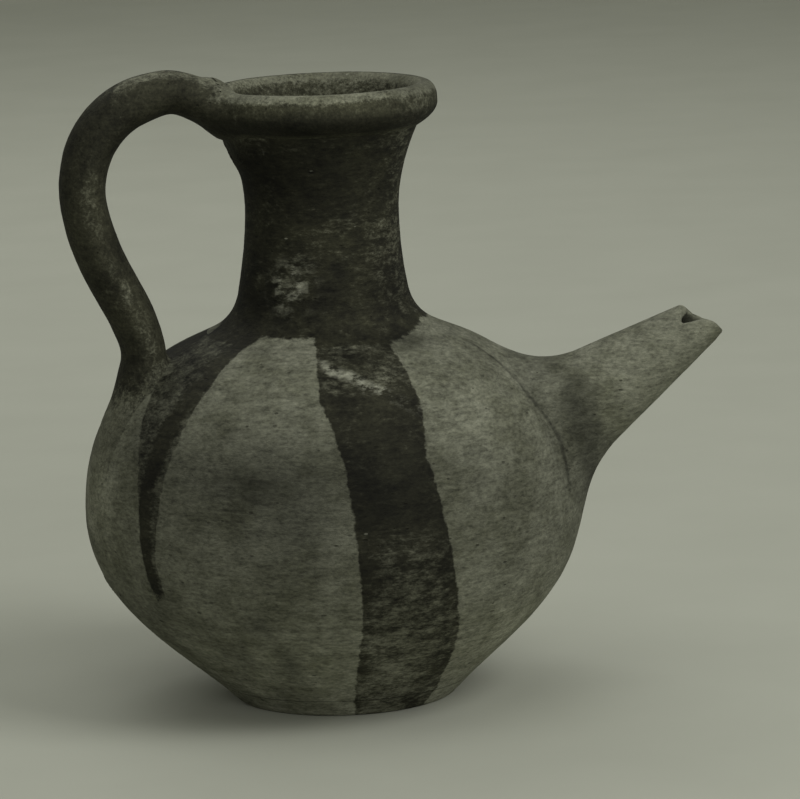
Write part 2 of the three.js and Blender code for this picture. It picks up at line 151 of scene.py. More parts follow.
def inward(path, wall):
    """A path of radius and height moved towards the axis side by a wall thickness."""
    along = np.gradient(path, axis=0)
    along /= np.linalg.norm(along, axis=1)[:, None]
    return path + wall * np.stack([-along[:, 1], along[:, 0]], 1)


def random_cells(key, seed):
    """A random value from 0 to 1 for each row of whole numbers."""
    mixed = key[:, 0] * 73856093 ^ key[:, 1] * 19349663 ^ key[:, 2] * 83492791 ^ seed * 2654435
    mixed = (mixed ^ (mixed >> 13)) * 1274126177
    mixed = (mixed ^ (mixed >> 16)) * 668265263
    return ((mixed ^ (mixed >> 15)) & 0xFFFFF) / 0xFFFFF


def noise(points, cell, seed, octaves=1):
    """A smooth random field from -1 to 1, with features about one cell (in mm) across."""
    total = np.zeros(len(points))
    weight_sum = 0
    for octave in range(octaves):
        scaled = points / (np.asarray(cell, float) / 2 ** octave)
        low = np.floor(scaled).astype(np.int64)
        part = scaled - low
        part = part * part * (3 - 2 * part)
        layer = np.zeros(len(points))
        for corner in np.ndindex(2, 2, 2):
            corner = np.array(corner)
            share = np.prod(np.where(corner, part, 1 - part), axis=1)
            layer += share * random_cells(low + corner, seed + 17 * octave)
        total += (2 * layer - 1) * 0.5 ** octave
        weight_sum += 0.5 ** octave
    return total / weight_sum


def smooth(low, high, value):
    t = np.clip((value - low) / (high - low), 0, 1)
    return t * t * (3 - 2 * t)


def between(value, low, full, fading, gone):
    """1 from full to fading, 0 below low and above gone, and smooth from one to the other."""
    return smooth(low, full, value) * smooth(gone, fading, value)


def full_turn(count):
    return np.linspace(0, 2 * math.pi, count, endpoint=False)


def bell(value, middle, width):
    return np.exp(-((value - middle) / width) ** 2)


def axis_shift(z):
    """The axis bows away from the spout in the middle, and the neck leans a little towards it."""
    bow = AXIS_BOW * (1 - ((z - AXIS_BOW_HEIGHT) / AXIS_BOW_HEIGHT) ** 2)
    return NECK_LEAN * smooth(*NECK_LEAN_HEIGHTS, z) - bow


# The vessel's outline.

seat_height = SHOULDER_HEIGHT + SEAT_RISE
slope = math.radians(SHOULDER_ANGLE)
up_shoulder = np.array([-math.cos(slope), math.sin(slope)])
coil_radius = SHOULDER_RADIUS - SEAT_RISE / math.tan(slope)
flare = math.radians(FLARE_ANGLE)

lower_line = bezier(
    (BASE_RADIUS, 0),
    (BASE_RADIUS + FLARE_LENGTH * math.cos(flare), FLARE_LENGTH * math.sin(flare)),
    (BELLY_RADIUS, BELLY_HEIGHT - FULLNESS_BELOW),
    (BELLY_RADIUS, BELLY_HEIGHT),
    200,
)
shoulder_end = np.array([SHOULDER_RADIUS, SHOULDER_HEIGHT])
upper_line = bezier(
    (BELLY_RADIUS, BELLY_HEIGHT),
    (BELLY_RADIUS, BELLY_HEIGHT + FULLNESS_ABOVE),
    shoulder_end - SHOULDER_FULLNESS * up_shoulder,
    shoulder_end,
    200,
)
neck_rise = WAIST_HEIGHT - seat_height
lower_neck_line = bezier(
    (FOOT_RADIUS, seat_height),
    (FOOT_RADIUS - FOOT_LEAN, seat_height + 0.27 * neck_rise),
    (WAIST_RADIUS, seat_height + 0.57 * neck_rise),
    (WAIST_RADIUS, WAIST_HEIGHT),
    120,
)
throat_flare = LIP_ROOT_RADIUS - WAIST_RADIUS
upper_neck_line = bezier(
    (WAIST_RADIUS, WAIST_HEIGHT),
    (WAIST_RADIUS, WAIST_HEIGHT + 0.34 * THROAT_RISE),
    (LIP_ROOT_RADIUS - 0.56 * throat_flare, LIP_ROOT_HEIGHT - 0.3 * THROAT_RISE),
    (LIP_ROOT_RADIUS, LIP_ROOT_HEIGHT),
    80,
)
neck_line = np.concatenate([lower_neck_line, upper_neck_line[1:]])


def neck_radius(z):
    return np.interp(z, neck_line[:, 1], neck_line[:, 0])


coil_top = seat_height + COIL_HEIGHT
coil_line = bezier(
    (coil_radius, seat_height),
    np.array([coil_radius, seat_height]) + 0.5 * COIL_HEIGHT * up_shoulder,
    (neck_radius(seat_height) - 0.5, seat_height + 0.38 * COIL_HEIGHT),
    (neck_radius(coil_top) - 0.1, coil_top),
    60,
)
lip_line = np.concatenate([
    bezier(
        (LIP_ROOT_RADIUS, LIP_ROOT_HEIGHT),
        (LIP_ROOT_RADIUS + LIP_UNDERSIDE, LIP_ROOT_HEIGHT + 0.6 * LIP_UNDERSIDE),
        (LIP_RADIUS, LIP_HEIGHT - LIP_FULLNESS),
        (LIP_RADIUS, LIP_HEIGHT),
        40,
    ),
    bezier(
        (LIP_RADIUS, LIP_HEIGHT),
        (LIP_RADIUS, LIP_HEIGHT + 0.55 * (CREST_HEIGHT - LIP_HEIGHT)),
        (CREST_RADIUS + LIP_FULLNESS, CREST_HEIGHT),
        (CREST_RADIUS, CREST_HEIGHT),
        40,
    )[1:],
])
above_coil = neck_line[neck_line[:, 1] > coil_top]
outline = np.concatenate([
    lower_line, upper_line[1:], [[coil_radius, seat_height]], coil_line[1:], above_coil, lip_line[1:],
])


def vessel_radius(z):
    return np.interp(z, outline[:, 1], outline[:, 0])


FIELD_STEP = 0.5
FIELD_FLOOR = -6


def outline_field():
    """Signed distance to the vessel's outside face on a grid of radius against height."""
    radii = np.arange(0, 160, FIELD_STEP)
    heights = np.arange(FIELD_FLOOR, CREST_HEIGHT + 30, FIELD_STEP)
    line = resample(np.concatenate([[[0, 0]], outline, [[0, CREST_HEIGHT]]]), 0.3)
    along = np.gradient(line, axis=0)
    out = np.stack([along[:, 1], -along[:, 0]], 1)
    out /= np.linalg.norm(out, axis=1)[:, None]
    table = np.empty((len(heights), len(radii)))
    for row, height in enumerate(heights):
        across = radii[:, None] - line[:, 0]
        rise = height - line[:, 1]
        near = (across ** 2 + rise ** 2).argmin(1)
        cells = np.arange(len(radii))
        table[row] = across[cells, near] * out[near, 0] + rise[near] * out[near, 1]
    return table


vessel_table = outline_field()


def vessel_distance(points):
    """How far points lie outside the vessel's outside face; negative in the wall and inside."""
    z = points[:, 2]
    radial = np.hypot(points[:, 0] - axis_shift(z), points[:, 1])
    rows, columns = vessel_table.shape
    row = np.clip((z - FIELD_FLOOR) / FIELD_STEP, 0, rows - 1.001)
    column = np.clip(radial / FIELD_STEP, 0, columns - 1.001)
    i, j = row.astype(int), column.astype(int)
    u, v = row - i, column - j
    return ((1 - u) * ((1 - v) * vessel_table[i, j] + v * vessel_table[i, j + 1])
            + u * ((1 - v) * vessel_table[i + 1, j] + v * vessel_table[i + 1, j + 1]))


def gradient(field, points, step=0.3):
    slopes = []
    for axis in range(3):
        offset = np.zeros(3)
        offset[axis] = step
        slopes.append((field(points + offset) - field(points - offset)) / (2 * step))
    return np.stack(slopes, 1)


def unit(vectors):
    return vectors / np.maximum(np.linalg.norm(vectors, axis=-1), 1e-9)[..., None]


def hollow_join(first, second, reach):
    """The field of two forms with a hollow curve between them; reach is a width or a function."""
    def field(points):
        a, b = first(points), second(points)
        width = reach(points) if callable(reach) else reach
        overlap = np.maximum(width - np.abs(a - b), 0) / width
        return np.minimum(a, b) - overlap ** 2 * width / 4
    return field


def settle(points, field, level=0.0, rounds=3):
    """Moves points square to a field until it has a given level there."""
    for _ in range(rounds):
        slope = gradient(field, points)
        steep = np.maximum(np.sum(slope ** 2, 1), 0.25)
        points = points - slope * ((field(points) - level) / steep)[:, None]
    return points


# The strap's run.

def through(stations, spacing):
    """A smooth path through stations, at even distances: centripetal Catmull-Rom."""
    stations = np.asarray(stations, float)
    padded = np.concatenate([
        [2 * stations[0] - stations[1]], stations, [2 * stations[-1] - stations[-2]],
    ])
    t = np.linspace(0, 1, 24, endpoint=False)[:, None]
    parts = []
    for p0, p1, p2, p3 in zip(padded, padded[1:], padded[2:], padded[3:]):
        d0, d1, d2 = (np.sum((q - p) ** 2) ** 0.25 for p, q in ((p0, p1), (p1, p2), (p2, p3)))
        leave = ((p1 - p0) / d0 - (p2 - p0) / (d0 + d1) + (p2 - p1) / d1) * d1
        arrive = ((p2 - p1) / d1 - (p3 - p1) / (d1 + d2) + (p3 - p2) / d2) * d1
        bend = 3 * (p2 - p1) - 2 * leave - arrive
        twist = 2 * (p1 - p2) + leave + arrive
        parts.append(p1 + leave * t + bend * t * t + twist * t ** 3)
    return resample(np.concatenate([*parts, stations[-1:]]), spacing)


def in_handle_plane(reach, height, sideways):
    x = -reach * math.cos(HANDLE_TURN) + sideways * math.sin(HANDLE_TURN)
    y = -reach * math.sin(HANDLE_TURN) - sideways * math.cos(HANDLE_TURN)
    return np.stack([x + axis_shift(HANDLE_REACH_HEIGHT), y, height + 0 * x], -1)


def from_handle_plane(points):
    x = points[:, 0] - axis_shift(HANDLE_REACH_HEIGHT)
    y = points[:, 1]
    reach = -x * math.cos(HANDLE_TURN) - y * math.sin(HANDLE_TURN)
    sideways = x * math.sin(HANDLE_TURN) - y * math.cos(HANDLE_TURN)
    return reach, points[:, 2], sideways


def strap_run():
    """Centre line of strap and tail: reach, height, half thickness, half width."""
    ankle = float(vessel_radius(HANDLE_ANKLE_HEIGHT)) + HANDLE_ANKLE_STAND
    crown = CREST_HEIGHT + HANDLE_CROWN_RISE
    head = CREST_HEIGHT - HANDLE_HEAD_HALF
    root_half = HANDLE_HEAD_HALF * 0.74
    half = HANDLE_HALF
    wide = HANDLE_WIDTH / 2
    head_wide = HANDLE_HEAD_WIDTH / 2

    def on_wall(height, proud, thick):
        return float(vessel_radius(height)) + proud - thick

    stations = [
        [HANDLE_HEAD_REACH - 7.5, head - HANDLE_HEAD_HALF * 0.3, HANDLE_HEAD_HALF, head_wide],
        [HANDLE_HEAD_REACH, head, HANDLE_HEAD_HALF, head_wide],
        [(HANDLE_HEAD_REACH + LIP_RADIUS) / 2 - 1.7, crown - root_half, root_half, head_wide],
        [LIP_RADIUS + 6.1, CREST_HEIGHT - 1.1, half, head_wide - 1],
        [HANDLE_CROWN_REACH, crown, half, wide],
        [HANDLE_REACH - 15.8, crown - 4.8, half, wide],
        [HANDLE_REACH - 4.7, HANDLE_REACH_HEIGHT + 16.6, half, wide],
        [HANDLE_REACH, HANDLE_REACH_HEIGHT, half, wide],
        [HANDLE_REACH - 4.8, HANDLE_REACH_HEIGHT - 22, half, wide],
        [ankle + 3.3, HANDLE_ANKLE_HEIGHT + 14, half, wide],
        [ankle, HANDLE_ANKLE_HEIGHT, half, wide + 0.5],
        [on_wall(HANDLE_TOE_HEIGHT, 4.6, 9.5), HANDLE_TOE_HEIGHT, 9.5, 15],
        [on_wall(100, 2.6, 9), 100, 9, 17],
        [on_wall(86, 1.5, 9), 86, 9, 17],
        [on_wall(74, 0.5, 9), 74, 9, 15],
        [on_wall(TAIL_END_HEIGHT, -0.8, 9), TAIL_END_HEIGHT, 9, 12],
    ]
    return through(stations, 0.9)


strap = strap_run()


def strap_frames():
    along = np.gradient(strap[:, :2], axis=0)
    along /= np.linalg.norm(along, axis=1)[:, None]
    out = np.stack([-along[:, 1], along[:, 0]], 1)
    early = np.arange(len(strap)) < len(strap) * 0.3
    upright = np.clip(1 - (strap[:, 0] - LIP_RADIUS) / 14, 0, 1) * early
    out = out * (1 - upright[:, None]) + np.array([0, 1.0]) * upright[:, None]
    return out / np.linalg.norm(out, axis=1)[:, None]


strap_out = strap_frames()


def pull_by_hand():
    reach, height, half = strap[:, 0], strap[:, 1], strap[:, 2]
    # The strap swells inside its arch and at its upper bend.
    in_arch = ARCH_SWELL * smooth(LIP_RADIUS + 14, LIP_RADIUS + 26, reach)
    in_arch *= smooth(HANDLE_ANKLE_HEIGHT + 4, HANDLE_ANKLE_HEIGHT + 25, height)
    at_bend = BEND_SWELL * bell(reach, HANDLE_REACH - 9, 7) * (height > HANDLE_REACH_HEIGHT)
    reach += in_arch + ARM_SWELL * bell(height, 160, 24) * (reach > LIP_RADIUS + 14)
    half += (in_arch + at_bend) / 2
    strap[:, :2] += strap_out * ((at_bend - in_arch) / 2)[:, None]
    # The arm stands a little nearer the neck, most of all half way down.
    arm = smooth(LIP_RADIUS + 4, LIP_RADIUS + 16, reach) * smooth(130, 150, height)
    reach -= arm * (ARM_DRAWN_IN + ARM_DRAWN_IN_MORE * bell(height, 162, 14))
    # The head is fuller where it crosses the crest and cut away underneath, at the neck; the foot
    # stands out more at the ankle and lies flatter below.
    head_end = height > HEAD_LEVEL
    bridge = CREST_BRIDGE * bell(reach, LIP_RADIUS - 4.3, 4.5) * head_end
    pared = HEAD_PARING * smooth(38, 33, reach) * head_end
    height += bridge + pared
    half += bridge - pared
    reach += ANKLE_PROUD * (bell(height, 123, 7) - bell(height, 101, 9))


pull_by_hand()


def strap_distance(points):
    """Roughly how far points lie outside the strap and its tail."""
    reach, height, sideways = from_handle_plane(points)
    result = np.empty(len(points))
    square = np.stack([strap_out[:, 1], -strap_out[:, 0]], 1)
    for start in range(0, len(points), 8000):
        part = slice(start, start + 8000)
        across = reach[part, None] - strap[None, :, 0]
        rise = height[part, None] - strap[None, :, 1]
        off_section = across * square[:, 0] + rise * square[:, 1]
        near = (off_section ** 2 + 0.03 * (across ** 2 + rise ** 2)).argmin(1)
        rows = np.arange(len(near))
        thick = across[rows, near] * strap_out[near, 0] + rise[rows, near] * strap_out[near, 1]
        side = sideways[part]
        scaled = np.sqrt((thick / strap[near, 2]) ** 2 + (side / strap[near, 3]) ** 2) + 1e-6
        result[part] = (scaled - 1) / scaled * np.hypot(thick, side)
    return result


# The spout's frame.

spout_foot = np.array([
    float(vessel_radius(SPOUT_HEIGHT)) + axis_shift(SPOUT_HEIGHT), 0, SPOUT_HEIGHT,
])
spout_out = np.array([math.cos(SPOUT_ANGLE), 0, math.sin(SPOUT_ANGLE)])
spout_up = np.array([-math.sin(SPOUT_ANGLE), 0, math.cos(SPOUT_ANGLE)])
spout_side = np.array([0, 1.0, 0])


def spout_radius(along):
    taper = (SPOUT_ROOT_RADIUS - SPOUT_TIP_RADIUS) / SPOUT_REACH
    return SPOUT_ROOT_RADIUS - taper * np.asarray(along, float)


def bore_radius(along):
    return np.interp(along, [0, SPOUT_MOUTH - 4], [BORE_ROOT_RADIUS, BORE_TIP_RADIUS])


def about_spout(along, radius, turn):
    """Points round the spout's axis; turn 0 is its upper side, a quarter turn its far side."""
    along, radius, turn = np.broadcast_arrays(along, radius, turn)
    return (spout_foot + along[..., None] * spout_out
            + (radius * np.cos(turn))[..., None] * spout_up
            + (radius * np.sin(turn))[..., None] * spout_side)


def on_spout_skin(along, turn, off=0):
    return about_spout(along, spout_radius(along) + off, turn)


def spout_distance(points):
    offset = points - spout_foot
    along = offset @ spout_out
    radial = np.linalg.norm(offset - along[:, None] * spout_out, axis=1)
    return radial - spout_radius(np.clip(along, -20, SPOUT_REACH))


def spout_meets_wall(turn):
    """Distance along the axis at which each line of the spout's skin leaves the wall."""
    low = np.full(turn.shape, -30.0)
    high = np.full(turn.shape, 40.0)
    for _ in range(40):
        middle = (low + high) / 2
        outside = vessel_distance(on_spout_skin(middle, turn)) > 0
        high = np.where(outside, middle, high)
        low = np.where(outside, low, middle)
    return (low + high) / 2


# Hand-made unevenness.

def hand_relief(points):
    """Depth in mm by which throwing, wiping and wear leave the surface under the true form; it
    never rises past the built part's box."""
    room = np.minimum(points - np.array(cad_low) / MM, np.array(cad_high) / MM - points).min(1)
    swell = 0.16 * (1 + noise(points, 48, 11))
    dents = 0.10 * (1 + noise(points, 13, 12, 2))
    wiped = 0.045 * (1 + noise(points * np.array([0.05, 0.05, 1]), 2.4, 13, 2))
    grain = 0.04 * (1 + noise(points, 2.2, 14, 2))
    return swell + dents + wiped + grain - 0.35 * smooth(0.2, 3, room)


def losses(points, seed, cell, share, depth, radius):
    """Depth of small round losses where grit has dropped out of the clay."""
    scaled = points / cell
    low = np.floor(scaled).astype(np.int64)
    loss = np.zeros(len(points))
    for corner in np.ndindex(3, 3, 3):
        key = low + np.array(corner) - 1
        chosen = random_cells(key, seed) < share
        centre = np.stack([random_cells(key, seed + i) for i in (1, 2, 3)], 1) + key
        size = radius * (0.5 + random_cells(key, seed + 4))
        gap = np.linalg.norm((scaled - centre) * cell, axis=1)
        loss = np.maximum(loss, np.where(chosen, depth * smooth(size, size * 0.35, gap), 0))
    return loss


def square_to(rings):
    """Outward unit normals of a skin of rings round one middle."""
    along = np.gradient(rings, axis=0)
    around = np.roll(rings, -1, 1) - np.roll(rings, 1, 1)
    normal = unit(np.cross(around, along))
    return normal * np.sign(np.sum(normal * (rings - rings.mean(1, keepdims=True))))


def relieve(rings, outward, share=1.0):
    """Lowers the first rings, those that show, by the hand-made relief times their share."""
    shown = len(outward)
    flat = rings[:shown].reshape(-1, 3)
    depth = hand_relief(flat) + losses(flat, seed=71, cell=9, share=0.07, depth=0.5, radius=1.1)
    depth = depth.reshape(outward.shape[:2]) * np.broadcast_to(share, shown)[:, None]
    return np.concatenate([rings[:shown] - outward * depth[..., None], rings[shown:]])


def join_to(rings, own, other, reach, where, hold=None):
    """Draws a skin out to the hollow curve that joins it to another form; what lies well inside
    the other form sinks, save where hold says that this skin is the one that shows."""
    flat = rings.reshape(-1, 3).copy()
    cover = other(flat)
    width = reach(flat) if callable(reach) else reach + 0 * cover
    held = hold(flat) if hold else 0 * cover
    near = ((cover > -width / 2) | (held > 0)) & (cover < width) & where(flat)
    field = hollow_join(own, other, reach)
    level = field(flat[near]) * (1 - smooth(-0.5, -0.2, (cover / width)[near])) * (1 - held[near])
    flat[near] = settle(flat[near], field, level)
    return flat.reshape(rings.shape)


# Building meshes.

SHARP_ANGLE = math.radians(32)


def skin(name, rings, loop=False):
    """A closed mesh through rings of points (mm): either the last ring joins the first,
    or both end rings close on their middle."""
    count, around = rings.shape[:2]
    places = rings.reshape(-1, 3)
    ring = np.arange(count if loop else count - 1)[:, None]
    step = np.arange(around)[None, :]
    ahead = (step + 1) % around
    following = (ring + 1) % count
    quads = np.stack([
        ring * around + step, ring * around + ahead,
        following * around + ahead, following * around + step,
    ], -1).reshape(-1, 4)
    faces = [quads]
    if not loop:
        first, last = len(places), len(places) + 1
        places = np.concatenate([places, [rings[0].mean(0)], [rings[-1].mean(0)]])
        edge = np.arange(around)
        after = (edge + 1) % around
        end = (count - 1) * around
        faces.append(np.stack([np.full(around, first), after, edge], 1))
        faces.append(np.stack([np.full(around, last), end + edge, end + after], 1))
    mesh = bpy.data.meshes.new(name)
    mesh.vertices.add(len(places))
    mesh.vertices.foreach_set("co", (places * MM).astype(np.float32).ravel())
    sizes = np.concatenate([np.full(len(part), part.shape[1]) for part in faces])
    corners = np.concatenate([part.ravel() for part in faces])
    mesh.loops.add(len(corners))
    mesh.loops.foreach_set("vertex_index", corners.astype(np.int32))
    mesh.polygons.add(len(sizes))
    starts = np.concatenate([[0], np.cumsum(sizes)[:-1]])
    mesh.polygons.foreach_set("loop_start", starts.astype(np.int32))
    mesh.polygons.foreach_set("use_smooth", np.ones(len(sizes), bool))
    mesh.update(calc_edges=True)
    mesh.validate()
    if volume(mesh) < 0:
        mesh.flip_normals()
    mesh.set_sharp_from_angle(angle=SHARP_ANGLE)
    piece = bpy.data.objects.new(name, mesh)
    bpy.context.scene.collection.objects.link(piece)
    return piece


def volume(mesh):
    mesh.calc_loop_triangles()
    corners = np.empty(len(mesh.loop_triangles) * 3, np.int32)
    mesh.loop_triangles.foreach_get("vertices", corners)
    places = np.empty(len(mesh.vertices) * 3, np.float32)
    mesh.vertices.foreach_get("co", places)
    a, b, c = places.reshape(-1, 3)[corners].reshape(-1, 3, 3).transpose(1, 0, 2).astype(float)
    return float(np.sum(a * np.cross(b, c)))


def finish(piece, marks, node, material):
    """Stores the marks per vertex for the material to read, and ties the piece to its solid."""
    for name, values in marks.items():
        values = np.asarray(values, float).ravel()
        missing = len(piece.data.vertices) - len(values)
        values = np.concatenate([values, np.full(missing, values[-1])])
        layer = piece.data.attributes.new(name, "FLOAT", "POINT")
        layer.data.foreach_set("value", values.astype(np.float32))
    piece.data.materials.append(material)
    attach(piece, "root")
    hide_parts(node)


# Where paint, wear and stains lie.

# Painted shapes on the vessel: pairs of height (mm) and azimuth (degrees, 0 at the spout and
# -90 at the front), and for rings pairs of azimuth and height.
FRONT_BAND_LEFT = [(10, -85.5), (18, -85), (28, -84.5), (38, -83.5), (70, -84), (78, -84.5),
                   (90, -85), (100, -86), (110, -88), (120, -91.5), (130, -92.5), (137, -95)]
FRONT_BAND_RIGHT = [(8, -46), (15, -50), (24, -53), (30, -55), (38, -57), (45, -59), (60, -61.5),
                    (70, -62.5), (80, -63.5), (90, -64.5), (100, -65.5), (105, -65), (115, -62.5),
                    (122, -62), (130, -60), (133, -58.5)]
HANDLE_BAND_EDGE = [(40, -134), (65, -134), (80, -132.5), (95, -131.5), (108, -130), (122, -128.5),
                    (133, -129.5), (136, -126)]
HANDLE_BAND_INNER = [(40, -137.5), (65, -138.5), (80, -139), (95, -141), (108, -146), (122, -153),
                     (130, -162), (136, -175)]
HANDLE_BAND_DARKEST = [(45, -136.5), (75, -137.2), (90, -136.6), (108, -134.8), (124, -133), (136, -131)]
# Azimuth and height of a few level scratches, and of the patch where the neck's slip is worn off.
SCRATCHES = (-113, 86)
WORN_PATCH = (-113, 153)
SPOUT_LINE = [(74, 17.6), (96, 18.3), (112, 20.5), (124, 17), (133, 14)]
NECK_RING_EDGE = [(-180, 137), (-135, 136.5), (-95, 136.5), (-62, 133), (-15, 138), (60, 134),
                  (120, 137), (180, 137)]
PALE_STREAK = [(-92, 131), (-88, 128), (-80, 125), (-72, 120), (-66, 116), (-62, 113)]
# The dark patch at the spout's root: turn about the spout (degrees, 0 on top and -90 in front)
# against distance along its axis (mm).
PATCH_FAR_EDGE = [(-180, 0), (-147, 3), (-120, 10), (-102, 12), (-92, 16.6), (-74, 18.4), (-50, 16)]
PATCH_NEAR_EDGE = [(-180, -10), (-128, -3), (-94, 1), (-60, 6), (-45, 10)]

# Clouds where the surface is darker or lighter: some are soil, smoke and wear, while the handle's tail, the
# low right side and the right of the neck are painted lighter where light falls on them, and the left of the
# neck is painted darker where it lies in shade. Azimuth and height of the middle, half extents, and how much
# darker (below 0) or lighter the surface is there.
SOIL_WEAR_AND_PAINTED_LIGHT = [
    (-98, 82, 10, 22, -0.30), (-115, 94, 20, 6, -0.16), (-112, 90, 20, 26, -0.30), (-112, 126, 20, 10, 0.16),
    (-152, 36, 24, 18, -0.30), (-118, 24, 9, 10, -0.22), (-109, 42, 3, 4, -0.45), (-98, 18, 9, 14, 0.14),
    (-160, 84, 16, 32, 0.90), (-32, 108, 20, 22, 0.06), (-47, 52, 14, 16, -0.10), (-52, 88, 8, 12, -0.08),
    (-77, 90, 12, 16, -0.30), (-75, 55, 12, 14, 0.10), (-148, 112, 12, 24, -0.36), (-75, 125, 14, 8, 0.35),
    (-70, 168, 70, 9, 0.30), (-125, 196, 50, 14, -0.40), (-20, 180, 28, 30, 0.35), (-125, 145, 35, 6, -0.30),
    (-55, 140, 22, 3, 0.60), (-95, 220, 45, 4, 1.00), (-38, 74, 22, 22, -0.14), (-75, 10, 14, 9, 0.10),
    (-35, 28, 18, 18, 0.32), (-112, 22, 22, 18, -0.14), (-105, 25, 3, 6, -0.40), (-112, 28, 4, 4, 0.30),
    (-119, 18, 5, 4, 0.35), (-126, 11, 6, 3, 0.35), (-87, 153, 22, 9, 0.25), (-46, 134, 16, 2.5, -0.45),
]
# Painted light and shade by height: the clay is painted paler low down, where light from the floor falls, and
# darker over the belly: pairs of height and shade.
PAINTED_LIGHT_BY_HEIGHT = [(0, 1.30), (24, 1.38), (45, 1.02), (62, 0.88), (98, 0.84), (112, 0.98),
                   (134, 1.02), (137, 1.0)]


# Marks below this height are on the two bowls, and those above it on the neck and rim.
SHOULDER_TOP = 134
# Spans that leave nothing out: every azimuth in degrees, and each height up to the top.
ALL_ROUND = (-182, -181, 181, 182)
TO_THE_TOP = (240, 241)
# Where the slip is rubbed: how much, then the heights and the azimuths at which that starts, is
# full, fades and is gone.
RUBBED = [
    (0.24, (-2, -1, 34, 60), ALL_ROUND),
    (0.20, (118, 124, SHOULDER_TOP - 0.1, SHOULDER_TOP), (-100, -90, -62, -55)),
    (0.08, (148, 164, 176, 190), ALL_ROUND),
    (0.16, (139.9, 140, *TO_THE_TOP), (-70, -25, 60, 120)),
    (0.04, (212, 217, *TO_THE_TOP), ALL_ROUND),
    (0.46, (218, 221, *TO_THE_TOP), ALL_ROUND),
    (0.20, (218, 221, *TO_THE_TOP), (-182, -181, -80, -50)),
]
# The upright bands at the back: azimuth and half width, both in degrees.
BACK_BANDS = [(134, 6), (76, 12)]
# The thin slip on the handle's tail: its azimuth, the height where it ends and half its width.
TAIL_AZIMUTH = -168
TAIL_SLIP_END = 90
TAIL_SLIP_HALF_WIDTH = 20
# The distance from its edge, in or out, up to which the paint is told apart.
PAINT_RANGE = 12


def at_edge(edge, value):
    table = np.array(edge, float)
    return np.interp(value, table[:, 0], table[:, 1])


